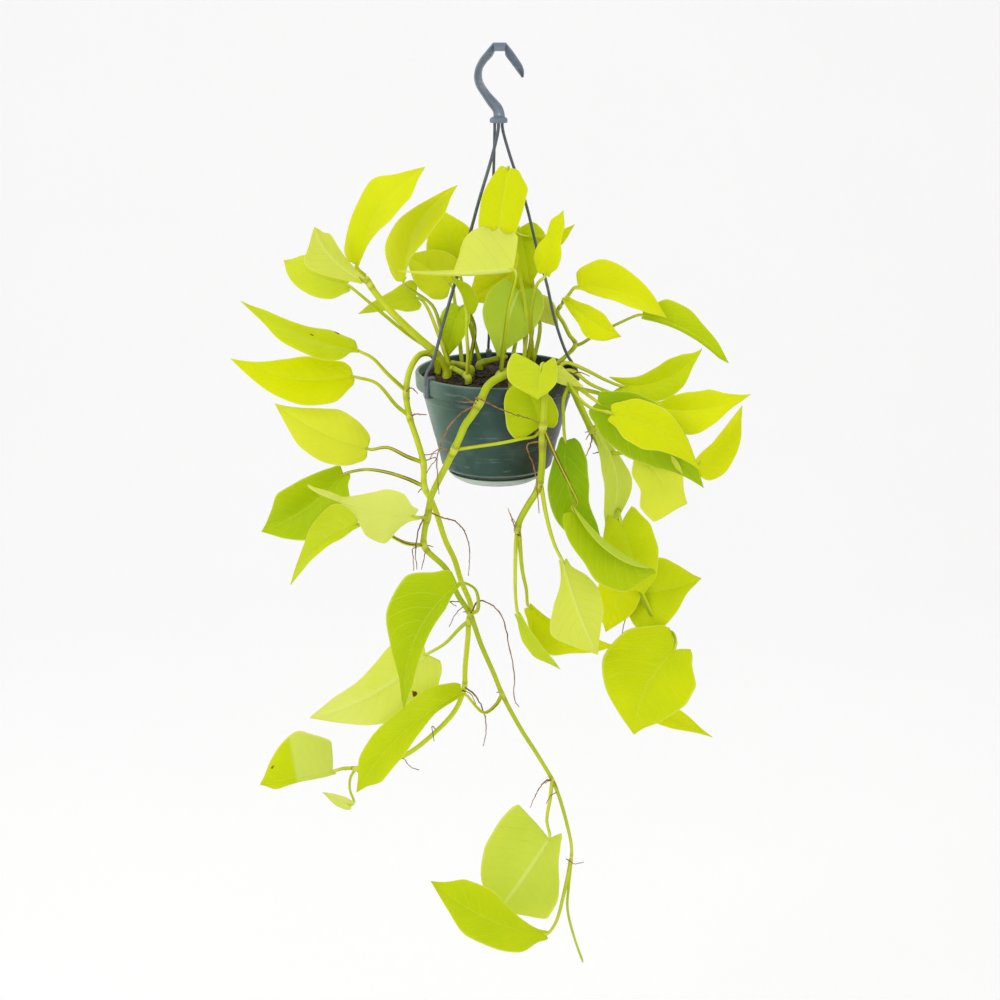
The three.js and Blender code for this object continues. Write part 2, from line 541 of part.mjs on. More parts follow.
        petioleRadius: 1.6, base: [134, 8, -240], tip: [213, 0, -283], roll: -10, foldLeft: 4,
        foldRight: -105, arch: 4, lobe: 1, bend: -7, left: [6, 11, 20, 19, 12, 7],
        right: [6, 10, 20, 24, 20, 9] },
    ],
    roots: [],
  },
  {
    name: 'shoot_left',
    colour: COLOURS.lime,
    stem: {
      rooted: true, radius: 4.6, endRadius: 2.6,
      points: [[-46, -4, -288], [-55, -8, -273], [-72, -12, -256], [-95, -17, -232], [-110, -19, -213],
        [-119, -20, -198]],
    },
    leaves: [
      { name: 'L1', petiole: [[-119, -20, -198]], base: [-126, -19, -188], tip: [-63, -40, -97],
        roll: -40, fold: 12, arch: 10, bend: -7, petioleRadius: 2.4, lobe: 1,
        left: [12, 20, 21, 24, 26, 11], right: [4, 7, 10, 19, 26, 24] },
      { name: 'L3', petiole: [[-114, -20, -205], [-119, -22, -201]], base: [-121, -25, -201],
        tip: [-160, -58, -147], roll: 165, foldLeft: 75, foldRight: 0, arch: 3, lobe: 2, bend: 8,
        left: [3, 5, 10, 17, 23, 11], right: [3, 5, 10, 17, 23, 10] },
      { name: 'L4', petiole: [[-58, -6, -270], [-80, -9, -255], [-111, -8, -229]], base: [-137, -2, -209],
        tip: [-194, 8, -189], roll: 20, fold: 10, arch: 5, bend: -6, left: [6, 11, 19, 21, 18, 11],
        right: [4, 7, 12, 17, 19, 14] },
    ],
    roots: [],
  },
  {
    name: 'shoot_front_left',
    colour: COLOURS.green,
    stem: { rooted: true, radius: 3.2, endRadius: 2.4, points: [[-26, -26, -291], [-34, -18, -287],
      [-43, -12, -284]] },
    leaves: [
      { name: 'L5', petiole: [[-43, -12, -284], [-54, -8, -252], [-64, 8, -232]], base: [-75, 24, -227],
        tip: [-128, 24, -242], roll: 14, foldLeft: 8, foldRight: 25, arch: 3, left: [8, 13, 12, 7, 5, 3],
        right: [12, 17, 15, 11, 8, 5] },
      { name: 'L15', petiole: [[-27, -25, -290], [-26, -31, -268], [-27, -38, -246]],
        base: [-27, -44, -226], tip: [-42, -38, -194], width: 36, roll: 66, fold: 24, arch: 3 },
    ],
    roots: [],
  },
  {
    name: 'shoot_crown_left',
    colour: COLOURS.green,
    stem: { rooted: true, radius: 3.4, endRadius: 2.4, points: [[-24, 10, -291], [-32, 8, -287],
      [-44, 6, -284]] },
    leaves: [
      { name: 'L2', petiole: [[-44, 6, -284], [-51, 5, -253], [-59, 5, -230]], base: [-85, 6, -208],
        tip: [-35, -14, -117], roll: -48, fold: 10, arch: 14, lobe: 4, bend: -6,
        left: [14, 23, 30, 26, 15, 6], right: [3, 4, 10, 23, 30, 26] },
      { name: 'L7', petiole: [[-32, 8, -287], [-36, 20, -250], [-39, 25, -229]],
        base: [-43, 28, -215], tip: [-85, 36, -189], width: 46, roll: 10, fold: 10, arch: 5 },
      { name: 'L14', petiole: [[-26, 10, -290], [-20, 8, -253], [-25, 6, -237]],
        base: [-33, 4, -232], tip: [-46, 6, -280], width: 30, roll: 20, fold: 12, arch: 4, lobe: 2 },
    ],
    roots: [],
  },
  {
    name: 'shoot_crown_back',
    colour: COLOURS.green,
    stem: { rooted: true, radius: 3.4, endRadius: 2.4, points: [[-16, 30, -291], [-4, 30, -287],
      [10, 32, -284]] },
    leaves: [
      { name: 'L6', petiole: [[-15, 30, -290], [-26, 36, -250], [-31, 42, -223]], base: [-36, 46, -201],
        tip: [-53, 60, -150], width: 50, roll: 0, fold: 8, arch: 6 },
      { name: 'L16', petiole: [[6, 31, -286], [14, 38, -243], [20, 39, -211]], base: [22, 35, -200],
        tip: [-27, 33, -232], width: 54, roll: 0, fold: 3, arch: 1 },
    ],
    roots: [],
  },
  {
    name: 'shoot_crown_centre',
    colour: COLOURS.lime,
    stem: { rooted: true, radius: 3.6, endRadius: 2.4, points: [[2, -14, -291], [12, -12, -287],
      [24, -14, -284]] },
    leaves: [
      { name: 'L8',
        petiole: [[24, -14, -284], [27, -10, -250], [26, -2, -228], [19, 8, -192], [12, 6, -130]],
        base: [10, -14, -102], tip: [0, -36, -184], roll: -4, fold: 4, arch: 4, lobe: 1, bend: 2,
        left: [8, 14, 21, 20, 17, 12], right: [6, 10, 15, 19, 19, 14] },
      { name: 'L9', petiole: [[4, -14, -290], [7, -26, -255], [11, -38, -221]], base: [14, -47, -187],
        tip: [-88, -64, -185], roll: 185, foldLeft: 4, foldRight: 152, drip: 0.49, lobe: 10,
        left: [28, 35, 40, 42, 40, 31], right: [22, 34, 40, 41, 36, 20], bend: 3 },
      { name: 'L13', petiole: [[12, -12, -287], [19, 8, -255], [22, 12, -232]], base: [20, 8, -218],
        tip: [1, -15, -274], width: 56, roll: 190, fold: 10, arch: -8, lobe: 12 },
    ],
    roots: [],
  },
  {
    name: 'shoot_crown_right',
    colour: COLOURS.green,
    stem: { rooted: true, radius: 3.2, endRadius: 2.2, points: [[26, 16, -291], [32, 10, -287],
      [34, -4, -284]] },
    leaves: [
      { name: 'L10', petiole: [[27, 16, -290], [25, 22, -240], [24, 24, -194]], base: [21, 22, -162],
        tip: [31, 23, -216], width: 44, roll: 0, fold: 6, arch: 3 },
      { name: 'L11', petiole: [[34, -4, -284], [31, -22, -240], [33, -29, -216], [37, -33, -202]],
        base: [44, -35, -193], tip: [59, -43, -135], roll: -25, fold: 14, arch: 3, bend: 0, lobe: 2,
        left: [6, 10, 14, 13, 8, 8], right: [4, 6, 12, 13, 8, 7] },
      { name: 'L12', petiole: [[28, 16, -290], [34, 24, -241], [31, 26, -199]], base: [24, 28, -168],
        tip: [71, 8, -156], width: 40, roll: 70, fold: 20, arch: 8 },
      { name: 'L17', petiole: [[33, 4, -286], [40, 22, -252]], base: [38, 25, -231],
        tip: [57, 23, -254], width: 22, roll: 0, fold: 10, lobe: 4 },
    ],
    roots: [],
  },
];

function shootSolid(shoot) {
  const leaves = shoot.leaves.map(leafGeometry);
  return join([stemGeometry(shoot.stem), ...leaves, ...shoot.roots.map(rootGeometry)]);
}

// The plain hole that a stem's foot stands in
function footHole(stem) {
  const [x, y] = stem.points[0];
  const above = SOIL_Z + SOIL_DROP;
  const below = SOIL_Z - FOOT_DEPTH - CLEAR;
  return disc(stem.radius + FOOT_HOLE_GAP, below, above, FOOT_HOLE_SIDES).translate(x, y, 0);
}

// Pot: one wall with a rolled rim band, and a floor with four drain holes

const POT_BOTTOM_Z = RIM_Z - POT_HEIGHT;
const PEG_CIRCLE = 26;
const PEG_RADIUS = 3;
const LIP_INSIDE = RIM_RADIUS - 4.4;             // inner face of the rim band at its foot
const BAND_Z = RIM_Z - BAND_HEIGHT;              // underside of the rim band
const BODY_INSIDE = SHOULDER_RADIUS - WALL;
const FLOOR_INSIDE = POT_FOOT_RADIUS - WALL;
const FLOOR_Z = POT_BOTTOM_Z + WALL;             // upper face of the pot's floor

function potSolid() {
  const profile = [
    [0, POT_BOTTOM_Z], [POT_FOOT_RADIUS - 1.5, POT_BOTTOM_Z], [POT_FOOT_RADIUS, POT_BOTTOM_Z + 2],
    [SHOULDER_RADIUS - 1.2, BAND_Z - 7], [SHOULDER_RADIUS, BAND_Z - 6],
    [SHOULDER_RADIUS, BAND_Z - 1], [RIM_RADIUS - 1, BAND_Z],
    [RIM_RADIUS, RIM_Z - 2], [RIM_RADIUS - 1, RIM_Z - 0.4], [RIM_RADIUS - 2.2, RIM_Z],
    [RIM_RADIUS - 3.2, RIM_Z - 0.4], [RIM_RADIUS - 3.6, RIM_Z - 1.6],
    [LIP_INSIDE, BAND_Z + 1], [BODY_INSIDE, BAND_Z - 3],
    [FLOOR_INSIDE + 0.4, FLOOR_Z + 2], [FLOOR_INSIDE - 2, FLOOR_Z], [0, FLOOR_Z],
  ];
  let pot = toSolid(lathe(profile));
  for (const [x, y] of pegPlaces()) {
    const hole = disc(PEG_RADIUS + CLEAR, POT_BOTTOM_Z - 1, FLOOR_Z + 1, PEG_SIDES);
    pot = pot.subtract(toSolid(hole.translate(x, y, 0)));
  }
  return pot;
}

function pegPlaces() {
  return [0, 1, 2, 3].map((k) => {
    const angle = Math.PI / 4 + (k * Math.PI) / 2;
    return [PEG_CIRCLE * Math.cos(angle), PEG_CIRCLE * Math.sin(angle)];
  });
}

// Saucer: a shallow cup whose four pegs snap into the drain holes

const PEG_RISE = 0.6;             // the pegs' ends above the pot's floor
const SAUCER_WALL = 1.6;

function saucerSolid() {
  const top = POT_BOTTOM_Z - CLEAR;
  const bottom = POT_BOTTOM_Z - SAUCER_HEIGHT;
  const profile = [
    [0, bottom], [SAUCER_BASE_RADIUS, bottom], [SAUCER_RADIUS - 3, bottom + 3.5],
    [SAUCER_RADIUS, top - 1], [SAUCER_RADIUS - 0.6, top], [SAUCER_RADIUS - SAUCER_WALL, top],
    [SAUCER_RADIUS - 3 - SAUCER_WALL, bottom + 4.6], [SAUCER_BASE_RADIUS - 0.6, bottom + SAUCER_WALL],
    [0, bottom + SAUCER_WALL],
  ];
  let saucer = toSolid(lathe(profile));
  for (const [x, y] of pegPlaces()) {
    const peg = disc(PEG_RADIUS, bottom + 1, FLOOR_Z + PEG_RISE, PEG_SIDES);
    saucer = saucer.add(toSolid(peg.translate(x, y, 0)));
  }
  return saucer;
}

// Soil: fills the pot a little below the lip, gently uneven, with a plain hole for each foot

const SOIL_GAP = 0.4;             // between the soil and the pot's wall

// Height of the surface above its mean: two crossing sets of low swells
function soilHeight(x, y) {
  return 0.9 * Math.sin(0.13 * x + 0.6) * Math.cos(0.11 * y) + 0.7 * Math.sin(0.21 * y - 0.07 * x);
}

function soilSolid() {
  const edge = LIP_INSIDE - SOIL_GAP;
  const floorZ = FLOOR_Z + SOIL_GAP + 2;
  const profile = [
    [0, floorZ], [FLOOR_INSIDE - SOIL_GAP, floorZ + 1], [BODY_INSIDE - SOIL_GAP, BAND_Z - 3],
    [edge, BAND_Z + 1.5], [edge, SOIL_Z], [edge * 2 / 3, SOIL_Z], [edge / 3, SOIL_Z], [0, SOIL_Z],
  ];
  const body = lathe(profile, SOIL_SIDES);
  const position = body.attributes.position;
  for (let i = 0; i < position.count; i += 1) {
    if (position.getZ(i) > SOIL_Z - 0.01) {
      position.setZ(i, SOIL_Z + soilHeight(position.getX(i), position.getY(i)));
    }
  }
  let soil = toSolid(body);
  for (const shoot of SHOOTS) {
    soil = soil.subtract(toSolid(footHole(shoot.stem)));
  }
  return wholeBody(soil);
}

// Hanger: a flat hook that ends in a flange, and three strands clipped over the lip. The flange sits a
// little to one side of the pot's axis, and the strands twist a part of a turn on their way down.

const FLANGE_TOP_Z = -58;
const FLANGE_BOTTOM_Z = -63;
const FLANGE_RADIUS = 8;
const FLANGE_EDGE = 3;
const FLANGE_X = 1.8;
const HOOK_HALF_DEPTH = 3.4;
const STRAND_CIRCLE = 4.2;
const STRAND_TWIST = 52;
const SOCKET_DEPTH = 3;

// Outer and inner edge of the hook, in pairs from its tip to its foot, as [x, z]. It bears at z = 0.
const HOOK_EDGES = [
  [[23.8, -23], [22.4, -23.4]], [[24.4, -18.6], [20.6, -21]], [[22.8, -13], [17, -16.2]],
  [[18.3, -6], [12.7, -10.4]], [[13.6, 0.6], [7.9, -3.9]], [[8.3, 7.1], [7.2, 0]],
  [[-3.2, 7.1], [-1.4, 0]], [[-9.4, -0.4], [-3.9, -4.6]], [[-14.7, -6.9], [-8.4, -9.4]],
  [[-18.7, -14.8], [-12.2, -15.4]],
  [[-20, -22.7], [-13, -21.5]], [[-18.3, -30.6], [-11.8, -27.6]], [[-12.9, -39.4], [-7, -35.2]],
  [[-7.6, -47.3], [-0.8, -42.2]], [[-3.2, -53.4], [4.8, -48.8]], [[-2.8, -57.5], [7.2, -56]],
  [[-2.8, -60], [7.4, -60]],
];

// How far out a strand is at a height, as a share of the way from its hole to the pot's lip. The right
// one hangs in a little below its middle.
const STRAND_TOP_Z = FLANGE_BOTTOM_Z + SOCKET_DEPTH - CLEAR;
const PLAIN_LINE = [[0, STRAND_TOP_Z], [0, FLANGE_BOTTOM_Z - 5], [0.08, -91], [0.26, -130], [0.38, -158],
  [0.61, -207], [0.76, -240], [0.9, -273], [0.99, -284], [1, RIM_Z - 5]];
const SLACK_LINE = [[0, STRAND_TOP_Z], [0, FLANGE_BOTTOM_Z - 5], [0.09, -91], [0.3, -134], [0.46, -178],
  [0.58, -207], [0.69, -240], [0.85, -271], [0.97, -284], [1, RIM_Z - 5]];
const STRAND_LINES = { left: PLAIN_LINE, right: SLACK_LINE, back: PLAIN_LINE };
const STRAND_OUT = 2.4;           // the strand's centre line outside the lip

function hookSolid() {
  const outer = HOOK_EDGES.map(([edge]) => edge);
  const inner = HOOK_EDGES.map(([, edge]) => edge).reverse();
  const outline = new THREE.Shape([...outer, ...inner].map(([x, z]) => new THREE.Vector2(x, z)));
  const bar = extruded(outline, 2 * HOOK_HALF_DEPTH);
  const profile = [[0, FLANGE_BOTTOM_Z], [FLANGE_RADIUS, FLANGE_BOTTOM_Z],
    [FLANGE_RADIUS, FLANGE_BOTTOM_Z + FLANGE_EDGE], [FLANGE_RADIUS - 3, FLANGE_TOP_Z], [0, FLANGE_TOP_Z]];
  const flange = lathe(profile, FLANGE_SIDES).translate(FLANGE_X, 0, 0);
  let hook = join([bar, flange]);
  for (const azimuth of Object.values(STRAND_AZIMUTH)) {
    const [x, y] = strandHole(azimuth);
    const roof = FLANGE_BOTTOM_Z + SOCKET_DEPTH;
    const socket = disc(STRAND_RADIUS + CLEAR, FLANGE_BOTTOM_Z - 1, roof, SOCKET_SIDES);
    hook = hook.subtract(toSolid(socket.translate(x, y, 0)));
  }
  return hook;
}

// An outline in x and z made solid, half its depth in front of the middle and half behind
function extruded(outline, depth) {
  return new THREE.ExtrudeGeometry(outline, { depth, steps: 1, bevelEnabled: false })
    .translate(0, 0, -depth / 2).rotateX(Math.PI / 2);
}

function onCircle(radius, azimuth) {
  return [radius * Math.cos(rad(azimuth)), radius * Math.sin(rad(azimuth))];
}

function strandHole(azimuth) {
  const [x, y] = onCircle(STRAND_CIRCLE, azimuth + STRAND_TWIST);
  return [x + FLANGE_X, y];
}

function strandSolid(side) {
  const azimuth = STRAND_AZIMUTH[side];
  const hole = strandHole(azimuth);
  const foot = onCircle(RIM_RADIUS + STRAND_OUT, azimuth);
  const points = STRAND_LINES[side].map(([share, z]) => [0, 1]
    .map((k) => THREE.MathUtils.lerp(hole[k], foot[k], share)).concat(z));
  const bar = taperedTube(points, points.map(() => STRAND_RADIUS), TUBE_SIDES);
  const low = BAND_Z - CLEAR;
  const top = RIM_Z + 2.2;
  const inside = RIM_RADIUS - 6.6;
  const outside = RIM_RADIUS + CLEAR;
  const grip = SHOULDER_RADIUS + 2.5;
  const strap = new THREE.Shape([
    [inside, RIM_Z - 6], [inside + 1.6, RIM_Z - 6], [inside + 2.2, RIM_Z + CLEAR], [outside, RIM_Z + CLEAR],
    [outside, low - 0.3], [grip, low - 0.9], [grip, low - 2.1], [outside + 1.8, low - 2.1],
    [outside + 1.8, RIM_Z + 0.8], [outside + 0.4, top], [inside, top],
  ].map(([r, z]) => new THREE.Vector2(r, z)));
  const clip = extruded(strap, CLIP_WIDTH).rotateZ(rad(azimuth));
  return join([bar, clip]);
}

// Scene

const plant = new THREE.Group();

function addPiece(name, solid, colour, finish) {
  const material = new THREE.MeshStandardMaterial({ color: colour, ...finish });
  const mesh = new THREE.Mesh(toGeometry(solid), material);
  mesh.name = name;
  plant.add(mesh);
}

addPiece('pot', potSolid(), COLOURS.pot, PLASTIC);
addPiece('saucer', saucerSolid(), COLOURS.saucer, PLASTIC);
addPiece('soil', soilSolid(), COLOURS.soil, { roughness: 1, metalness: 0 });
addPiece('hanger_hook', hookSolid(), COLOURS.hanger, PLASTIC);
for (const side of Object.keys(STRAND_AZIMUTH)) {
  addPiece(`hanger_strand_${side}`, strandSolid(side), COLOURS.hanger, PLASTIC);
}
for (const shoot of SHOOTS) {
  addPiece(shoot.name, shootSolid(shoot), shoot.colour, LEAF);
}

export default plant;
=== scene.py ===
# %% [markdown]
# A lime pothos in a hanging nursery pot, dressed in Blender around its CAD frame.
# The frame gives the pot, saucer, soil, hanger and one plain solid for each leafy shoot.
# Here each of them gets its finer shape and its finish, in the same place and size. The plain solids
# could be kept and only coloured, but veins, ruffled margins, chips and clips need shapes of their own.
# Lengths in the lists are millimetres, as a grower would measure them. Meshes, the camera and the
# lights are in metres.

# %% Load the frame
import math
import random

import bmesh
import bpy
import numpy as np
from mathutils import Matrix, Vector


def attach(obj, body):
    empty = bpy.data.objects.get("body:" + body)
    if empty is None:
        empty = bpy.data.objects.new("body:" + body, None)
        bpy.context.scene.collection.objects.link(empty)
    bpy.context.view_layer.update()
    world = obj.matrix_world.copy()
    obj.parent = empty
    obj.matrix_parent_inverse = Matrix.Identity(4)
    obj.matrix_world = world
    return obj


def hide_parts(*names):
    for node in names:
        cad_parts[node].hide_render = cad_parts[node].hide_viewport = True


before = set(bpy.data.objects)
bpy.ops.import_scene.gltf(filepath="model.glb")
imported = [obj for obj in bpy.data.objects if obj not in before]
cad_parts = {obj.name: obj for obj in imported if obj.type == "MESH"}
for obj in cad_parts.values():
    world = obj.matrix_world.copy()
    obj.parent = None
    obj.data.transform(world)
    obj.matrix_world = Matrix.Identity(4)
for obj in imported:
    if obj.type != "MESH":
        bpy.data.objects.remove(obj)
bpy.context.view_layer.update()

MM = 0.001
print("frame nodes:", len(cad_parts))

# %% [markdown]
# The photograph was taken from a little above the hook, looking slightly down. A wide lens close by
# would also hold the whole plant, but it would swell the leaves at the front. A long lens keeps them
# the size they have in the photograph.

# %% Camera
LENS = 84.13  # millimetres
SENSOR_WIDTH = 36  # millimetres
CAMERA_PLACE = (0.003, -2.097, 0.199)
CAMERA_TILT = math.radians(73.7)


def make_camera():
    data = bpy.data.cameras.new("photo_camera")
    data.lens = LENS
    data.sensor_width = SENSOR_WIDTH
    camera = bpy.data.objects.new("photo_camera", data)
    camera.location = CAMERA_PLACE
    camera.rotation_euler = (CAMERA_TILT, 0, 0)
    bpy.context.collection.objects.link(camera)
    bpy.context.scene.camera = camera
    print("camera", CAMERA_PLACE, "lens", LENS)


make_camera()

# %% [markdown]
# Plain pieces of mesh all start the same way: a list of corners, a list of faces, and numbers kept
# on each corner, such as how far along a leaf it lies. Materials read those numbers later. A picture
# laid over the leaves could say the same, but numbers on corners stay sharp at any size.

# %% From corners and faces to a piece
def make_mesh(name, corners, faces, marks=None, smooth=True):
    mesh = bpy.data.meshes.new(name)
    mesh.from_pydata((np.asarray(corners) * MM).tolist(), [], faces)
    for mark, values in (marks or {}).items():
        values = np.asarray(values, dtype=float)
        if values.ndim == 2:
            layer = mesh.attributes.new(mark, "FLOAT_VECTOR", "POINT")
            layer.data.foreach_set("vector", values.ravel())
        else:
            layer = mesh.attributes.new(mark, "FLOAT", "POINT")
            layer.data.foreach_set("value", values)
    mesh.polygons.foreach_set("use_smooth", [smooth] * len(mesh.polygons))
    mesh.validate()
    return mesh


def place_piece(name, mesh, finish, slot=None, nodes=()):
    piece = bpy.data.objects.new(name, mesh)
    bpy.context.collection.objects.link(piece)
    mesh.materials.append(finish)
    if slot is None:
        return piece
    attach(piece, "root")
    if nodes:
        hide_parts(*nodes)
    return piece


class Heap:
    """Several closed shapes that are gathered into one mesh."""

    def __init__(self):
        self.corners = []
        self.faces = []
        self.marks = {}

    def add(self, corners, faces, **marks):
        start = sum(len(part) for part in self.corners)
        self.corners.append(np.asarray(corners, dtype=float))
        self.faces.extend([start + corner for corner in face] for face in faces)
        for mark, values in marks.items():
            self.marks.setdefault(mark, []).append(np.asarray(values, dtype=float))

    def mesh(self, name, smooth=True):
        marks = {mark: np.concatenate(values) for mark, values in self.marks.items()}
        made = make_mesh(name, np.concatenate(self.corners), self.faces, marks, smooth)
        print(name, len(made.polygons), "faces")
        return made

# %% [markdown]
# Stems, petioles, roots and the strands of the hanger all follow a smooth line through a few points.
# A line that only nears its points would be simpler, but petioles have to meet stems exactly. This one
# passes through every point, and its speed follows the gaps between them, so it never loops.

# %% Lines
TINY = 1e-6


def unit(vectors):
    return vectors / np.maximum(np.linalg.norm(vectors, axis=-1, keepdims=True), 1e-9)


def dot(a, b):
    return np.sum(a * b, axis=-1, keepdims=True)


def turned(vectors, axis, angle):
    """Vectors turned about an axis."""
    angle = np.asarray(angle, dtype=float)[..., None]
    return (vectors * np.cos(angle) + np.cross(axis, vectors) * np.sin(angle)
            + axis * dot(axis, vectors) * (1 - np.cos(angle)))


def smooth_line(points, steps):
    """Places of a smooth line through the points, and where each lies in the list of points."""
    p = np.asarray(points, dtype=float)
    p = np.vstack([2 * p[0] - p[1], p, 2 * p[-1] - p[-2]])
    line, places = [], []
    for i in range(1, len(p) - 2):
        gaps = [max(1e-4, np.linalg.norm(p[j + 1] - p[j]) ** 0.5) for j in (i - 1, i, i + 1)]
        before, here, after = gaps
        leave = ((p[i] - p[i - 1]) / before - (p[i + 1] - p[i - 1]) / (before + here)
                 + (p[i + 1] - p[i]) / here) * here
        arrive = ((p[i + 1] - p[i]) / here - (p[i + 2] - p[i]) / (here + after)
                  + (p[i + 2] - p[i + 1]) / after) * here
        for t in np.arange(steps) / steps:
            line.append((2 * t ** 3 - 3 * t ** 2 + 1) * p[i] + (t ** 3 - 2 * t ** 2 + t) * leave
                        + (-2 * t ** 3 + 3 * t ** 2) * p[i + 1] + (t ** 3 - t ** 2) * arrive)
            places.append(i - 1 + t)
    line.append(p[-2])
    places.append(len(p) - 3)
    return np.array(line), np.array(places)


def gone_along(line):
    """The length of the line up to each of its points."""
    return np.concatenate([[0], np.cumsum(np.linalg.norm(np.diff(line, axis=0), axis=1))])


bend = smooth_line([[0, 0, 0], [7, 0, 3], [10, 0, 10]], 8)[0]
print("a bend of three points:", len(bend), "places,", round(gone_along(bend)[-1], 1), "mm")

# %% [markdown]
# A section is carried along the line to make a tube. Turning it with the line's own curve would make it
# spin wherever the curve changes side, so each ring keeps the direction of the one before, which is
# how a vine's ridges run.

# %% Tubes
def carried_frames(line, start_up):
    """The direction along the line at each point, and a direction across it that doesn't twist."""
    along = unit(np.gradient(line, axis=0))
    across = np.empty_like(line)
    current = np.asarray(start_up, dtype=float)
    for i, direction in enumerate(along):
        current = current - direction * current.dot(direction)
        length = np.linalg.norm(current)
        if length < TINY:
            current = np.array([direction[2], direction[0], direction[1]])
            current = current - direction * current.dot(direction)
            length = np.linalg.norm(current)
        current = current / length
        across[i] = current
    return along, across


def swept(line, start_up, radii, section=None, sides=16):
    """A closed tube, and how far along and how far round, as a share of a turn, each corner lies.

    section gives, for each angle from the up side, a share of the radius.
    """
    along, up = carried_frames(line, start_up)
    right = np.cross(along, up)
    angles = 2 * np.pi * np.arange(sides) / sides
    shares = np.ones((len(line), sides)) if section is None else section(angles, len(line))
    reach = np.asarray(radii)[:, None] * shares
    rings = (line[:, None, :] + up[:, None, :] * (reach * np.cos(angles))[..., None]
             + right[:, None, :] * (reach * np.sin(angles))[..., None])
    corners = np.vstack([rings.reshape(-1, 3), line[:1], line[-1:]])
    count = len(line) * sides
    faces = []
    for i in range(len(line) - 1):
        for k in range(sides):
            j = (k + 1) % sides
            a, b = i * sides + k, i * sides + j
            faces.append([a, b, b + sides, a + sides])
    for k in range(sides):
        j = (k + 1) % sides
        last = (len(line) - 1) * sides
        faces.append([count, j, k])
        faces.append([count + 1, last + k, last + j])
    gone = gone_along(line)
    lengths = np.concatenate([np.repeat(gone, sides), [0, gone[-1]]])
    turns = np.concatenate([np.tile(angles / (2 * np.pi), len(line)), [0, 0]])
    return corners, faces, lengths, turns


def on_rings(values, sides):
    """One value for each ring of a tube, given to all its corners, and 0 to the ends' middles."""
    return np.concatenate([np.repeat(values, sides), [0, 0]])


print("a tube along that bend:", len(swept(bend, (0, 1, 0), np.ones(len(bend)))[1]), "faces")

# %% [markdown]
# Materials are node trees. They could be drawn by hand in the node editor, but written out they can be
# read, compared and changed. A few short helpers keep them readable: one adds a node and wires its
# inputs, the others do sums and mix colours. Colours are written as they look on a screen, from 0 to
# 255, and turned into the linear values that the shader needs.

# %% Helpers for node trees
def colour(red, green, blue):
    shares = [channel / 255 for channel in (red, green, blue)]
    linear = [c / 12.92 if c <= 0.04045 else ((c + 0.055) / 1.055) ** 2.4 for c in shares]
    return (*linear, 1.0)


class Nodes:
    """Adds nodes to one tree."""

    def __init__(self, tree):
        self.tree = tree

    def add(self, kind, settings=None, **inputs):
        node = self.tree.nodes.new(kind)
        for name, value in (settings or {}).items():
            setattr(node, name, value)
        self.wire(node, **inputs)
        return node

    def wire(self, node, **inputs):
        """Sets inputs of a node by their name, with _ for a space, or by their number, as in i0."""
        for name, value in inputs.items():
            key = int(name[1:]) if name[0] == "i" and name[1:].isdigit() else name.replace("_", " ")
            self.join(value, node.inputs[key])

    def join(self, value, socket):
        if isinstance(value, bpy.types.NodeSocket):
            self.tree.links.new(value, socket)
        else:
            socket.default_value = value

    def math(self, operation, a, b=0.0):
        return self.add("ShaderNodeMath", {"operation": operation}, i0=a, i1=b).outputs[0]

    def plus(self, a, b):
        return self.math("ADD", a, b)

    def minus(self, a, b):
        return self.math("SUBTRACT", a, b)

    def times(self, a, b):
        return self.math("MULTIPLY", a, b)

    def swing(self, value, size):
        """A value from 0 to 1 as a swing to either side of zero."""
        return self.times(self.minus(value, 0.5), size)

    def stretched(self, where, shares):
        return self.add("ShaderNodeVectorMath", {"operation": "MULTIPLY"}, i0=where, i1=shares).outputs[0]

    def ramp(self, value, low, high, start=0.0, end=1.0):
        return self.add("ShaderNodeMapRange", {"interpolation_type": "SMOOTHSTEP"}, Value=value,
                        From_Min=low, From_Max=high, To_Min=start, To_Max=end).outputs["Result"]

    def blend(self, share, first, second):
        return self.add("ShaderNodeMix", {"data_type": "RGBA"}, i0=share, i6=first, i7=second).outputs[2]

    def tinted(self, body, masks, tints):
        """The body's colour under other colours, each laid on by a share of its mask."""
        for label, (share, tint) in tints.items():
            body = self.blend(self.times(masks[label], share), body, colour(*tint))
        return body

    def where(self):
        return self.add("ShaderNodeTexCoord").outputs["Object"]

    def noise(self, scale, detail=2.0, where=None):
        if where is None:
            where = self.where()
        return self.add("ShaderNodeTexNoise", Vector=where, Scale=scale, Detail=detail).outputs["Fac"]

    def mark(self, name):
        return self.add("ShaderNodeAttribute", {"attribute_name": name}).outputs["Fac"]

    def place(self, name):
        """The three numbers of a mark that is a vector."""
        mark = self.add("ShaderNodeAttribute", {"attribute_name": name}).outputs["Vector"]
        return self.add("ShaderNodeSeparateXYZ", Vector=mark).outputs

    def bump(self, height, strength, distance):
        made = self.add("ShaderNodeBump", Height=height, Strength=strength, Distance=distance)
        return made.outputs["Normal"]


print("linear value of a middle grey:", round(colour(128, 128, 128)[0], 3))

# %% [markdown]
# A finish is a material with one shader. Layers of shaders could be mixed, but every surface here is one
# substance with marks on it, so one shader with mixed colours is enough. A group is a part of a tree
# that several finishes share.

# %% Finishes and groups
def new_finish(name):
    finish = bpy.data.materials.new(name)
    finish.use_nodes = True
    tree = finish.node_tree
    tree.nodes.clear()
    nodes = Nodes(tree)
    shader = nodes.add("ShaderNodeBsdfPrincipled")
    nodes.add("ShaderNodeOutputMaterial", Surface=shader.outputs[0])
    return finish, nodes, shader


def new_group(name, inputs, outputs):
    """A shader node group whose inputs and outputs are all plain numbers."""
    tree = bpy.data.node_groups.new(name, "ShaderNodeTree")
    for way, labels in (("INPUT", inputs), ("OUTPUT", outputs)):
        for label in labels:
            tree.interface.new_socket(label, in_out=way, socket_type="NodeSocketFloat")
    nodes = Nodes(tree)
    return tree, nodes, nodes.add("NodeGroupInput").outputs, nodes.add("NodeGroupOutput").inputs

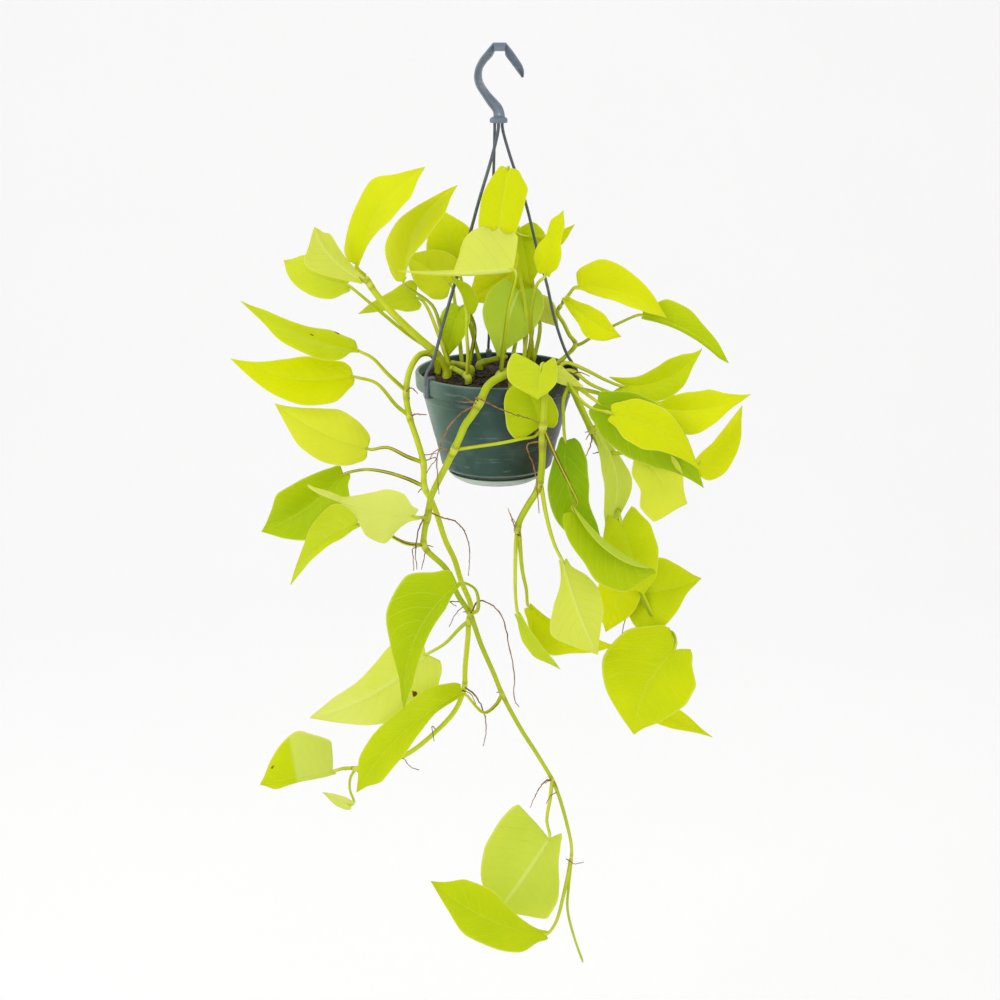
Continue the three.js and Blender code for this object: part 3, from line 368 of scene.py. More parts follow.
# %% [markdown]
# A pothos blade has one strong midrib. Side veins leave it at a slant and curve toward the tip, with
# many finer ones between them. They could be drawn as lines of mesh on each leaf, but as a pattern of
# the place on the blade they follow every bend and cost no corners. Both leaf finishes use the pattern,
# so it is a node group. It reads how far along the blade a point is and how far across, and puts out
# a mask for each kind of vein.

# %% Node group: the veins of a blade
SIDE_VEINS = 9
VEIN_SLANT = 0.24
VEIN_CURVE = 1.25  # above 1, a side vein turns toward the tip as it goes out
FINE_VEINS = 52
VEIN_WANDER = 0.02


def make_veins():
    tree, n, given, out = new_group(
        "blade_veins", ("Along", "Across"), ("Side veins", "Fine veins", "Midrib", "Margin"))
    away = n.math("ABSOLUTE", given["Across"])
    slant = n.times(n.math("POWER", away, VEIN_CURVE), VEIN_SLANT)
    phase = n.plus(n.minus(given["Along"], slant), n.swing(n.noise(90, 1), VEIN_WANDER))
    side = n.math("PINGPONG", n.times(phase, SIDE_VEINS), 0.5)
    fine = n.math("PINGPONG", n.times(phase, FINE_VEINS), 0.5)
    n.join(n.ramp(side, 0.06, 0.0), out["Side veins"])
    n.join(n.ramp(fine, 0.34, 0.0), out["Fine veins"])
    n.join(n.ramp(away, 0.055, 0.015), out["Midrib"])
    n.join(n.ramp(away, 0.93, 1.0), out["Margin"])
    return tree


VEINS = make_veins()
print("blade_veins:", len(VEINS.nodes), "nodes")

# %% [markdown]
# A lime pothos leaf is thin, waxy on top and paler and duller below. Young leaves are a yellow lime,
# older ones greener, and the thin margin lets light through, which the finish paints as a paler rim.
# A finish of its own for each leaf would give the same range, but two finishes with numbers on the
# corners of each leaf, for how green and how pale it is, keep all leaves of one kind alike. Small brown
# marks sit where the photograph shows them.

# %% Finish of the blades
VEIN_TINTS = {
    "Side veins": (0.22, (228, 234, 70)),
    "Fine veins": (0.12, (140, 170, 0)),
    "Midrib": (0.2, (224, 232, 76)),
}
VEIN_TINTS_BELOW = {"Side veins": (0.25, (190, 208, 40)), "Midrib": (0.45, (228, 234, 140))}
PAINTED_MARGIN_LIGHT = {"Margin": (0.35, (236, 240, 130))}
PALE = colour(230, 238, 168)
DRY_BROWN = colour(112, 62, 16)
LEAF_PATCHES = 0.3  # how much a leaf's green varies over it
LEAF_BUMP_HEIGHT = 0.0004


def make_blade_finish(name, young, older, young_below, older_below):
    finish, n, shader = new_finish(name)
    place = n.place("blade_place")
    veins = n.add("ShaderNodeGroup", {"node_tree": VEINS}, Along=place[0], Across=place[1]).outputs
    cloud = n.noise(24, 3)
    tone = n.math("MAXIMUM", 0.0, n.plus(n.mark("blade_tone"), n.swing(cloud, LEAF_PATCHES)))
    tone = n.math("MINIMUM", 1.0, tone)
    top = n.tinted(n.blend(tone, colour(*young), colour(*older)), veins, VEIN_TINTS)
    below = n.tinted(n.blend(tone, colour(*young_below), colour(*older_below)), veins, VEIN_TINTS_BELOW)
    both = n.blend(place[2], below, top)
    both = n.blend(n.times(n.mark("blade_pale"), 0.8), both, PALE)
    # Painted light: the margin is tinted paler, for light shining through the thin edge
    both = n.tinted(both, veins, PAINTED_MARGIN_LIGHT)
    ragged = n.plus(n.mark("blade_marks"), n.swing(n.noise(300, 3), 0.8))
    both = n.blend(n.ramp(ragged, 0.4, 0.6), both, DRY_BROWN)
    rough = n.plus(n.ramp(place[2], 0.0, 1.0, 0.62, 0.42), n.times(cloud, 0.12))
    sunk = n.plus(n.times(veins["Side veins"], -0.5), n.times(veins["Fine veins"], -0.22))
    height = n.plus(sunk, n.times(n.noise(900, 2), 0.12))
    n.wire(shader, Base_Color=both, Roughness=rough, Normal=n.bump(height, 0.6, LEAF_BUMP_HEIGHT),
           Specular_IOR_Level=0.1, Subsurface_Weight=0.3, Subsurface_Radius=(1.0, 1.0, 0.1),
           Subsurface_Scale=0.002, Coat_Weight=0.03, Coat_Roughness=0.3)
    print(name, len(n.tree.nodes), "nodes")
    return finish


BLADE_FINISH = {
    "lime": make_blade_finish("blade_lime", (224, 230, 0), (126, 170, 0), (222, 230, 92), (160, 194, 30)),
    "green": make_blade_finish("blade_green", (220, 228, 0), (118, 164, 0), (216, 226, 84), (152, 188, 26)),
}

# %% [markdown]
# Stems and petioles are juicy and smooth, with faint lengthwise ridges, a yellow green that turns
# paler at the joints, painted shade of a deeper green along one side, and dry brown skin along the
# petioles' sheaths.
# Separate pieces could carry the joints and the dry skin, but on a stem they shade into each other, so
# one finish reads how far each corner has of them. The roots are dry and brown, and need only noise.

# %% Finish of the stems and roots
STEM_RIDGES = 7
SHADED_SIDE = 0.3  # share of a turn, from a stem's up side to its shaded one
SKIN_BUMP_HEIGHT = 0.0004


def make_stem_finish():
    finish, n, shader = new_finish("stem_skin")
    place = n.place("stem_place")
    streak = n.noise(60, 2, n.stretched(n.where(), (1, 1, 0.25)))
    ridge = n.math("PINGPONG", n.times(place[1], STEM_RIDGES), 0.5)
    body = n.blend(n.ramp(n.mark("stem_age"), 0, 1), colour(206, 218, 30), colour(160, 180, 8))
    body = n.blend(n.times(n.ramp(streak, 0.45, 0.75), 0.45), body, colour(216, 224, 60))
    # Painted shade: the side of each stem and petiole at SHADED_SIDE turns a deeper green
    away = n.math("ABSOLUTE", n.minus(place[1], SHADED_SIDE))
    body = n.blend(n.ramp(away, 0.17, 0.05, 0.0, 0.65), body, colour(118, 142, 0))
    body = n.blend(n.ramp(n.mark("stem_joint"), 0.2, 1.0, 0.0, 0.4), body, colour(226, 230, 100))
    dry = n.times(n.mark("stem_sheath"), n.ramp(n.noise(60, 3), 0.3, 0.55, 0.15, 0.9))
    body = n.blend(dry, body, colour(104, 76, 20))
    height = n.plus(n.times(ridge, 0.7), n.times(n.noise(500, 2), 0.4))
    n.wire(shader, Base_Color=body, Roughness=n.ramp(streak, 0.2, 0.8, 0.38, 0.52),
           Normal=n.bump(height, 0.35, SKIN_BUMP_HEIGHT), Specular_IOR_Level=0.25,
           Subsurface_Weight=0.15, Subsurface_Radius=(1.0, 1.0, 0.15), Subsurface_Scale=0.002)
    print("stem_skin", len(n.tree.nodes), "nodes")
    return finish


def make_root_finish():
    finish, n, shader = new_finish("root_bark")
    cloud = n.noise(160, 3)
    tan = n.blend(n.ramp(cloud, 0.35, 0.65), colour(104, 70, 34), colour(170, 122, 66))
    tan = n.blend(n.ramp(n.noise(40, 1), 0.55, 0.75), tan, colour(70, 48, 30))
    n.wire(shader, Base_Color=tan, Roughness=n.ramp(cloud, 0.2, 0.8, 0.65, 0.85),
           Normal=n.bump(n.noise(900, 3), 0.5, SKIN_BUMP_HEIGHT))
    print("root_bark", len(n.tree.nodes), "nodes")
    return finish


STEM_FINISH = make_stem_finish()
ROOT_FINISH = make_root_finish()

# %% [markdown]
# The pot, saucer and hanger are moulded plastic. All of them show cloudy dust, fine scratches and
# grain. Their colour also carries painted light, paler to the left of the pot's axis, and painted shade,
# darker to the right. Each finish could have its own noise for that, but then a change to one would be
# missed in the others. One node group makes the masks for all.

# %% Node group: handling marks, painted light and painted shade on plastic
DUST_SCALE = 30.0
SCRATCH_SCALE = 120.0
GRAIN_SCALE = 1400.0
UPRIGHT_HAIRS = (0.35, 0.35, 2.6)  # stretches the noise of the scratches
# Painted light and painted shade, from none to all, by distance left and right of the pot's axis
PAINTED_LIGHT_X = (-0.034, -0.078)  # metres from the pot's axis, from none to all
SHADED_X = (-0.014, 0.04)


def make_handling_and_light():
    tree, n, _, out = new_group(
        "handling_and_painted_light", (), ("Dust", "Scratches", "Grain", "Painted light", "Shaded"))
    where = n.where()
    cloud = n.noise(DUST_SCALE, 4.0, where)
    hair = n.noise(SCRATCH_SCALE, 3.0, n.stretched(where, UPRIGHT_HAIRS))
    sideways = n.add("ShaderNodeSeparateXYZ", Vector=where).outputs[0]
    uneven = n.plus(sideways, n.swing(cloud, 0.02))
    n.join(n.ramp(cloud, 0.42, 0.72), out["Dust"])
    n.join(n.ramp(hair, 0.60, 0.68), out["Scratches"])
    n.join(n.noise(GRAIN_SCALE, 2.0, where), out["Grain"])
    # Painted light grows toward the left and painted shade toward the right
    n.join(n.ramp(uneven, *PAINTED_LIGHT_X), out["Painted light"])
    n.join(n.ramp(uneven, *SHADED_X), out["Shaded"])
    return tree


HANDLING_AND_LIGHT = make_handling_and_light()
print("handling_and_painted_light:", len(HANDLING_AND_LIGHT.nodes), "nodes")

# %% [markdown]
# The pot is a dark blue green. Painted light turns it a chalky grey green on its left, and painted
# shade darkens its right. The saucer is a milky white that lets some light through, and the hook and
# strands a blue grey, with the same painted light and shade. They differ in colour and sheen only, so
# one recipe with other numbers serves all four. Where a piece is rubbed and given a painted highlight,
# or darkened by painted shade and grime, it carries a number on its corners. The small dark pip on the
# pot and the painted highlight on the dimple of the hook's foot could be pieces of their own, but they
# have no thickness, so the finish paints them.

# %% Finish of the plastics
POT_PIP = (-0.063, -0.0216, -0.312)  # a dark pip on the pot's left, in metres
# A painted highlight: a pale glint on the dimple on the front of the hook's foot
HOOK_DIMPLE_GLINT = (0.0022, -0.0031, -0.0552)  # the pale dimple on the front of the hook's foot
SCRATCH_SHARE = 0.25
# Rubbing and a painted highlight along the pot's lip and the edge of its foot
WORN_AND_HIGHLIT_SHARE = 0.75
# Painted shade in the saucer's step and along its bottom edge, and a darkening of its pegs
GRIME_AND_SHADE_SHARE = 0.8
GRIME_AND_SHADE_TINT = (52, 62, 56)
GRAIN_HEIGHT = 0.0003


def make_plastic(name, shaded, main, painted_light_colour, dust_and_highlight, roughness, dust_share, clear=0.0, spot=None):
    finish, n, shader = new_finish(name)
    marks = n.add("ShaderNodeGroup", {"node_tree": HANDLING_AND_LIGHT}).outputs
    # Painted shade darkens the right and painted light pales the left
    body = n.blend(marks["Shaded"], colour(*main), colour(*shaded))
    body = n.blend(marks["Painted light"], body, colour(*painted_light_colour))
    body = n.tinted(body, marks, {"Dust": (dust_share, dust_and_highlight), "Scratches": (SCRATCH_SHARE, dust_and_highlight)})
    # Marks on the corners: rubbing with a painted highlight, and painted shade with grime
    corner_marks = {"worn_and_highlit": n.mark("worn_and_highlit"), "soiled": n.mark("soiled")}
    body = n.tinted(body, corner_marks, {"worn_and_highlit": (WORN_AND_HIGHLIT_SHARE, dust_and_highlight), "soiled": (GRIME_AND_SHADE_SHARE, GRIME_AND_SHADE_TINT)})
    # A spot of colour: the dark pip on the pot, and on the hook a painted highlight in its dimple
    if spot:
        place, radius, tint = spot
        far = n.add("ShaderNodeVectorMath", {"operation": "DISTANCE"}, i0=n.where(), i1=place)
        body = n.blend(n.ramp(far.outputs["Value"], 1.2 * radius, 0.8 * radius), body, colour(*tint))
    rough = n.plus(roughness, n.times(marks["Dust"], 0.18))
    height = n.plus(n.times(marks["Grain"], 0.6), n.times(marks["Scratches"], -0.5))
    n.wire(shader, Base_Color=body, Roughness=rough, Normal=n.bump(height, 0.25, GRAIN_HEIGHT),
           Specular_IOR_Level=0.36)
    if clear:
        n.wire(shader, Subsurface_Weight=clear, Subsurface_Radius=(0.9, 1.0, 1.0), Subsurface_Scale=0.004)
    print(name, len(n.tree.nodes), "nodes")
    return finish


# Each plastic: its colour in painted shade, its own colour, its colour in painted light, dust and
# highlight, roughness, dust share
POT_FINISH = make_plastic("pot_plastic", (12, 26, 16), (38, 72, 63), (124, 150, 138), (126, 150, 140),
                          0.36, 0.22, spot=(POT_PIP, 0.0009, (20, 26, 22)))
SAUCER_FINISH = make_plastic("saucer_plastic", (140, 150, 142), (178, 194, 182), (200, 212, 202),
                             (214, 224, 214), 0.34, 0.35, clear=0.4)
HOOK_FINISH = make_plastic("hook_plastic", (104, 116, 130), (110, 124, 138), (124, 134, 146),
                           (178, 180, 182), 0.42, 0.35, spot=(HOOK_DIMPLE_GLINT, 0.0011, (176, 188, 200)))
HANGER_FINISH = make_plastic("hanger_plastic", (78, 86, 90), (86, 94, 100), (98, 106, 112),
                             (140, 148, 152), 0.40, 0.30)

# %% [markdown]
# A blade grows along a line from where its petiole joins, the base, to its tip. Each leaf in the list
# below says where those two are, and how it is turned, bowed, folded and ruffled. Its halves have the
# widths that its left and right lists give at six places, or else the common outline times its width.
# One modelled leaf could be copied all over the plant, but no two leaves here have the same outline or
# fold, so each grows from its own words. The frame's solids use the same words, so the fine blade lies
# where the plain one does.

# %% Outline of a blade
MEASURED = [0, 0.07, 0.2, 0.38, 0.58, 0.79]  # places along the blade of the listed widths
OUTLINE = [0.5, 0.8, 0.99, 0.96, 0.77, 0.39]
NEAR_TIP = 0.93
NEAR_TIP_SHARE = 0.3  # how much of the last listed width is left there
TIP_HALF_WIDTH = 0.3
DRIP_HALF_WIDTH = 3.0  # where a drawn-out tip begins
DRIP_END = 0.2  # half width at the end of it
ROUND_BASE = 2.2  # how steeply a half widens at the base
ROWS = 44
ACROSS = np.array([0, 0.03, 0.07, 0.13, 0.21, 0.31, 0.42, 0.53, 0.64, 0.74, 0.83, 0.9, 0.955, 0.985, 1.0])
COLUMNS = np.concatenate([-ACROSS[:0:-1], ACROSS])
DRIP_ROWS = 12


def half_width(leaf, side, share):
    """Width of a half at shares of the length, on a smooth line that doesn't swing past its points."""
    drip = leaf.get("drip", 0)
    end = DRIP_HALF_WIDTH if drip else TIP_HALF_WIDTH
    listed = leaf.get(side) or [0.5 * leaf["width"] * part for part in OUTLINE]
    near_tip = end + (listed[-1] - end) * NEAR_TIP_SHARE
    xs = np.array([*MEASURED, NEAR_TIP, 1.0])
    ys = np.array([*listed, near_tip, end])
    gap = np.diff(xs)
    rise = np.diff(ys) / gap
    slopes = np.zeros(len(xs))
    level = rise[:-1] * rise[1:] <= 0
    slopes[1:-1] = np.where(level, 0, 2 * rise[:-1] * rise[1:] / np.where(level, 1, rise[:-1] + rise[1:]))
    slopes[0], slopes[-1] = ROUND_BASE * rise[0], rise[-1]
    body = np.minimum(1, share / (1 - drip))
    i = np.clip(np.searchsorted(xs, body, side="right") - 1, 0, len(gap) - 1)
    t = (body - xs[i]) / gap[i]
    width = ((2 * t ** 3 - 3 * t ** 2 + 1) * ys[i] + (t ** 3 - 2 * t ** 2 + t) * gap[i] * slopes[i]
             + (-2 * t ** 3 + 3 * t ** 2) * ys[i + 1] + (t ** 3 - t ** 2) * gap[i] * slopes[i + 1])
    if drip:
        width = np.where(share > 1 - drip, end * (1 - share) / drip + DRIP_END, width)
    return width


def row_places(leaf):
    """Shares of the length, closer together at the base and the tip."""
    t = np.linspace(0, 1, ROWS)
    rows = 0.45 * t + 0.55 * (0.5 - 0.5 * np.cos(np.pi * t))
    drip = leaf.get("drip", 0)
    if not drip:
        return rows
    return np.concatenate([rows * (1 - drip), 1 - drip + drip * np.linspace(0, 1, DRIP_ROWS + 1)[1:]])


middle_half = half_width({"width": 50}, "left", np.array([0.5])).item()
print("half width of a common leaf 50 mm wide, at its middle:", round(middle_half, 1), "mm")

# %% [markdown]
# A leaf's base and tip give it a direction, and roll turns it about that. Its halves then fold up like
# a book on a soft spine. Folding on a sharp line would be easier, but the midrib would look creased,
# so each half bends over a short length first. Waves, a slight dome and the lobes come last.

# %% Fold and bow of a blade
FACING = np.array([0.0, -0.96, 0.28])  # a leaf's turn is measured from facing front and a little up
FOLD_BEND = 5.0  # length over which a half bends when it folds
FLAT_FOLD = 1e-4  # a fold below this angle counts as flat
FRILL = 0.7  # height of the small waves at the margin
DOME = 0.05  # how much a half swells, as a share of its width
LOBE = 4  # how far the lobes reach back behind the base, if not listed


def blade_frame(leaf):
    """The base, the way to the tip and its direction, the face's direction and the one across both."""
    base = np.array(leaf["base"], dtype=float)
    chord = np.array(leaf["tip"], dtype=float) - base
    along = unit(chord)
    face = unit(FACING - along * FACING.dot(along))
    face = turned(face, along, math.radians(leaf.get("roll", 0)))
    return base, chord, along, face, np.cross(along, face)


def folded(distance, degrees):
    """How far across and how far up a point lies whose half folds up by an angle."""
    fold = math.radians(degrees)
    if abs(fold) < FLAT_FOLD:
        return distance, 0 * distance
    turned_part = np.minimum(distance, FOLD_BEND)
    flat_part = distance - turned_part
    angle = fold * turned_part / FOLD_BEND
    across = np.sin(angle) * FOLD_BEND / fold + flat_part * math.cos(fold)
    up = (1 - np.cos(angle)) * FOLD_BEND / fold + flat_part * math.sin(fold)
    return across, up


def blade_middle(leaf, rows, columns):
    """The middle surface of a blade, and each point's distance from the midrib and place on the blade."""
    base, chord, _, face, side = blade_frame(leaf)
    s, u = np.meshgrid(rows, columns, indexing="ij")
    bow = (4 * rows * (1 - rows))[:, None]
    slope = (4 * (1 - 2 * rows))[:, None]
    arch, bend = leaf.get("arch", 0), leaf.get("bend", 0)
    middle = base + chord * rows[:, None] + face * arch * bow + side * bend * bow
    tangent = unit(chord + face * arch * slope + side * bend * slope)
    up = unit(face - tangent * dot(face, tangent))
    up = turned(up, tangent, math.radians(leaf.get("twist", 0)) * rows ** 2 * (3 - 2 * rows))
    right = np.cross(tangent, up)
    wide = np.where(u > 0, half_width(leaf, "right", s), half_width(leaf, "left", s))
    reach = wide * np.abs(u)
    fold = leaf.get("fold", 0)
    out_right, up_right = folded(reach, leaf.get("fold_right", fold))
    out_left, up_left = folded(reach, leaf.get("fold_left", fold))
    out = np.where(u > 0, out_right, -out_left)
    lift = np.where(u > 0, up_right, up_left)
    away = np.abs(u)
    seed = sum(ord(letter) for letter in leaf["name"])
    lift = lift + leaf.get("wave", 0) * np.sin(9 * s + np.where(u > 0, 1, 2.6)) * u ** 2
    lift = lift + FRILL * np.sin(17 * s + seed + 2 * np.sign(u)) * away ** 3 * (1 - s)
    lift = lift + DOME * wide * np.sin(np.pi * away ** 0.8)
    back = leaf.get("lobe", LOBE) * np.maximum(0, 1 - s / 0.5) ** 2 * away ** 0.7
    points = (middle[:, None, :] + right[:, None, :] * out[..., None] + up[:, None, :] * lift[..., None]
              - tangent[:, None, :] * back[..., None])
    return points, reach, s, u


upright_half = [round(value.item(), 1) for value in folded(np.array([20.0]), 90)]
print("a half 20 mm wide, folded upright, reaches across and up:", upright_half, "mm")

# %% [markdown]
# A real blade is a soft cushion between veins. Its top sinks along the midrib and the side veins and
# swells between them, and below, the midrib stands out as a round rib. A flat sheet with a bump pattern
# would look right from the front, but its edge and back would give it away. So the blade is a thin
# closed skin, thickest at the midrib and thin at the margin.

# %% One blade
BLADE_THICKNESS = 0.8
MIDRIB_WIDTH = 1.3
GROOVE_DEPTH = 0.45  # of the midrib, on the upper face
RIB_HEIGHT = 0.75  # of the midrib, on the lower face
QUILT = 0.2  # height of the swellings between the side veins
MARK_REACH = 25  # half width that a mark's place across is a share of
COMMON_LOOK = (0.3, 0.0)  # tone and paleness of a leaf without an entry of its own
WHOLE_BLADE = (-1, 2, 0.1)


def add_blade(heap, leaf):
    rows = row_places(leaf)
    points, reach, s, u = blade_middle(leaf, rows, COLUMNS)
    n, m = s.shape
    normal = unit(np.cross(np.gradient(points, axis=1), np.gradient(points, axis=0)))
    away = np.abs(u)
    taper = 1 - 0.75 * s
    near = np.exp(-(reach / MIDRIB_WIDTH) ** 2) * taper
    phase = (s - VEIN_SLANT * away ** VEIN_CURVE) * SIDE_VEINS
    swell = QUILT * np.cos(2 * np.pi * phase) * np.sin(np.pi * np.minimum(1, away * 1.05)) ** 0.5
    swell = -np.where(away < 0.98, swell, 0) * np.minimum(1, reach / 6)
    half = 0.5 * BLADE_THICKNESS * (1 - 0.6 * away ** 3) * (0.45 + 0.55 * taper)
    top = points + normal * (half + swell - GROOVE_DEPTH * near)[..., None]
    below = points - normal * (half - swell + RIB_HEIGHT * near)[..., None]
    corners = np.vstack([top.reshape(-1, 3), below.reshape(-1, 3)])
    count = n * m
    grid = np.arange(count).reshape(n, m)
    a, b, c, d = grid[:-1, :-1], grid[:-1, 1:], grid[1:, 1:], grid[1:, :-1]
    upper = np.stack([a, b, c, d], axis=-1).reshape(-1, 4)
    lower = np.stack([a, d, c, b], axis=-1).reshape(-1, 4) + count
    edge = np.concatenate([grid[0], grid[1:, -1], grid[-1, -2::-1], grid[-2::-1, 0]])
    rim = [[q, p, p + count, q + count] for p, q in zip(edge[:-1].tolist(), edge[1:].tolist())]
    faces = upper.tolist() + lower.tolist() + rim
    place = np.stack([s, u, np.ones_like(s)], axis=-1).reshape(-1, 3)
    place = np.vstack([place, place * (1, 1, 0)])
    tone, paleness = LEAF_LOOKS.get(leaf["name"], COMMON_LOOK)
    start, end, softness = PALE_PARTS.get(leaf["name"], WHOLE_BLADE)
    pale = paleness * np.clip((s - start) / softness, 0, 1) * np.clip((end - s) / softness, 0, 1)
    marks = np.zeros_like(s)
    for at, across, size in LEAF_MARKS.get(leaf["name"], ()):
        far = np.hypot((s - at) * np.linalg.norm(np.subtract(leaf["tip"], leaf["base"])),
                       (u - across) * MARK_REACH)
        marks = np.maximum(marks, 1.3 * np.exp(-(far / size) ** 2))
    heap.add(corners, faces, blade_place=place, blade_tone=np.full(2 * count, tone),
             blade_pale=np.tile(pale.ravel(), 2), blade_marks=np.tile(marks.ravel(), 2))

# %% [markdown]
# A petiole has a groove along its upper side. Over its lower part the groove has thin dry wings, the
# sheath that once wrapped the next leaf. Just below the blade it swells into a pale joint, the knee,
# with which the leaf turns to the light. The wings could be strips of their own, but they grow out of
# the petiole without a seam, so the section itself changes along one tube.

# %% One petiole
PETIOLE_RADIUS = 1.9  # at the stem, if a leaf doesn't list its own
NECK_HALF_WIDTH = 1.1
NECK_BEND = 4.0
KNEE_BACK = 9  # millimetres from the petiole's end to the knee
KNEE_LENGTH = 4.5
LIP_TURN = 0.85  # radians from the groove's middle to each of its lips
PETIOLE_AGE = 0.25
PETIOLE_SIDES = 18
PETIOLE_STEPS = 5


def petiole_line(leaf):
    base, _, along, face, _ = blade_frame(leaf)
    points = [np.array(p, dtype=float) for p in leaf["petiole"]]
    arrive = unit(points[-1] - base)
    bend_out = unit(arrive - along - 0.25 * face)
    points += [base + bend_out * NECK_BEND, base - 0.1 * face, base + along * 5 - 0.35 * face]
    return points, face


def add_petiole(heap, leaf):
    points, face = petiole_line(leaf)
    line, places = smooth_line(points, PETIOLE_STEPS)
    share = places / places[-1]
    start = leaf.get("petiole_radius", PETIOLE_RADIUS)
    radii = start + (NECK_HALF_WIDTH - start) * np.minimum(1, share * 1.1)
    gone = gone_along(line)
    left = gone[-1] - gone
    knee = np.exp(-((left - KNEE_BACK) / KNEE_LENGTH) ** 2)
    radii = radii * (1 + 0.16 * knee) * np.minimum(1, 0.35 + left / 6)
    groove = np.minimum(1, gone / 6) * np.minimum(1, left / 14)
    wings = np.clip(1.25 - 2 * share, 0, 1) * np.minimum(1, gone / 4)

    def section(angles, count):
        turn = np.minimum(angles, 2 * np.pi - angles)
        dip = np.exp(-(turn / 0.5) ** 2)
        lips = np.exp(-((turn - LIP_TURN) / 0.28) ** 2)
        return 0.95 - 0.4 * groove[:, None] * dip + (0.06 + 0.3 * wings[:, None]) * groove[:, None] * lips

    corners, faces, lengths, turns = swept(line, face, radii, section, PETIOLE_SIDES)
    turn = 2 * np.pi * np.minimum(turns, 1 - turns)
    dry = DRY_SHEATHS.get(leaf["name"], COMMON_SHEATH)
    lips = np.exp(-((turn - LIP_TURN) / (0.2 + 0.08 * dry)) ** 2)
    sheath = dry * lips * on_rings(0.35 + 0.65 * wings, PETIOLE_SIDES)
    heap.add(corners, faces, stem_place=np.stack([lengths, turns, 0 * turns], axis=-1),
             stem_age=np.full(len(turns), PETIOLE_AGE), stem_joint=on_rings(knee, PETIOLE_SIDES),
             stem_sheath=sheath)

# %% [markdown]
# A vine thickens at each joint, where a leaf leaves it and where roots break through. A ring scar goes
# round it there, and the foot of each stem goes straight down into the soil. The joints could be
# listed, but they are wherever a petiole or a root starts, so the stem finds them by itself.

# %% One stem
SOIL_Z = -297
FOOT_DEPTH = 14
STEM_SIDES = 22
STEM_STEPS = 7
JOINT_LENGTH = 4.5
JOINT_REACH = 8  # a joint counts when it starts this near to the stem's line
SCAR_WIDTH = 1.2


def stem_points(stem):
    x, y, z = stem["points"][0]
    return [[x, y, SOIL_Z - FOOT_DEPTH], [x, y, min(z, SOIL_Z + 1)], *stem["points"]]


def add_stem(heap, stem, leaves, roots, age):
    line, places = smooth_line(stem_points(stem), STEM_STEPS)
    share = places / places[-1]
    radii = stem["radius"] + (stem["end_radius"] - stem["radius"]) * share
    joint = np.zeros(len(line))
    ring = np.zeros(len(line))
    starts = [leaf["petiole"][0] for leaf in leaves] + [root[0] for root in roots]
    for start in starts:
        far = np.linalg.norm(line - np.array(start, dtype=float), axis=1)
        if far.min() < JOINT_REACH:
            joint = np.maximum(joint, np.exp(-(far / JOINT_LENGTH) ** 2))
            ring = np.maximum(ring, np.exp(-((far - JOINT_LENGTH) / SCAR_WIDTH) ** 2))
    radii = radii * (1 + 0.20 * joint + 0.05 * ring)
    left = np.linalg.norm(line - line[-1], axis=1)
    radii = radii * np.minimum(1, 0.45 + left / 5)

    def section(angles, count):
        ridges = 1 + 0.035 * np.cos(5 * angles) + 0.02 * np.cos(3 * angles + 1)
        return np.tile(ridges, (count, 1))

    corners, faces, lengths, turns = swept(line, (0.3, 1, 0.2), radii, section, STEM_SIDES)
    heap.add(corners, faces, stem_place=np.stack([lengths, turns, 0 * turns], axis=-1),
             stem_age=np.full(len(turns), age), stem_joint=on_rings(joint, STEM_SIDES),
             stem_sheath=0.5 * on_rings(ring, STEM_SIDES))

# %% [markdown]
# Aerial roots are thin, brown and a little crooked. The long ones hang where the photograph shows
# them, and short dry stubs sit at the joints. A smooth tube would look like wire, so each place of a
# root's line is moved a little and made a little thicker or thinner. The chance is seeded, so a root
# comes out the same each time.

# %% Roots
ROOT_RADIUS = 0.8
ROOT_END_RADIUS = 0.35
ROOT_SIDES = 8
ROOT_STEPS = 6
KINK = 0.5
STUB_RADIUS = 0.6
STUB_REACH = 6  # a stub grows only where a petiole starts this near the stem
STUBS_BELOW = -300


def add_root(heap, points, chance, thick=ROOT_RADIUS):
    line, places = smooth_line(points, ROOT_STEPS)
    share = places / places[-1]
    kinks = np.array([[chance.uniform(-KINK, KINK) for _ in range(3)] for _ in line])
    line = line + kinks * np.sin(np.pi * share)[:, None] ** 0.5
    radii = thick + (ROOT_END_RADIUS - thick) * share
    radii = radii * np.array([chance.uniform(0.85, 1.15) for _ in line])
    heap.add(*swept(line, (0.2, 1, 0.1), radii, None, ROOT_SIDES)[:2])


def add_stubs(heap, stem, leaves, chance):
    for leaf in leaves:
        start = np.array(leaf["petiole"][0], dtype=float)
        far = np.linalg.norm(np.array(stem["points"]) - start, axis=1)
        if far.min() > STUB_REACH or start[2] > STUBS_BELOW:
            continue
        for _ in range(chance.choice((1, 2))):
            way = unit(np.array([chance.uniform(-1, 1), chance.uniform(-1, 1), chance.uniform(-0.8, 0.2)]))
            length = chance.uniform(6, 11)
            end = start + way * length + np.array([0, 0, -1.5])
            add_root(heap, [start, start + way * length * 0.5, end], chance, STUB_RADIUS)

# %% [markdown]
# Eleven shoots grow from the soil. Leaves could be scattered on them by chance, but that would be
# another plant, so each is written down. A leaf's petiole starts on its stem. base and tip are the two
# ends of the midrib, roll turns the blade about it, twist turns its outer part further, arch bows it
# toward the upper face and bend sideways, fold raises the halves, wave ruffles them, lobe is how far
# the heart's lobes reach back, and drip is the share of the length that a drawn-out tip takes.

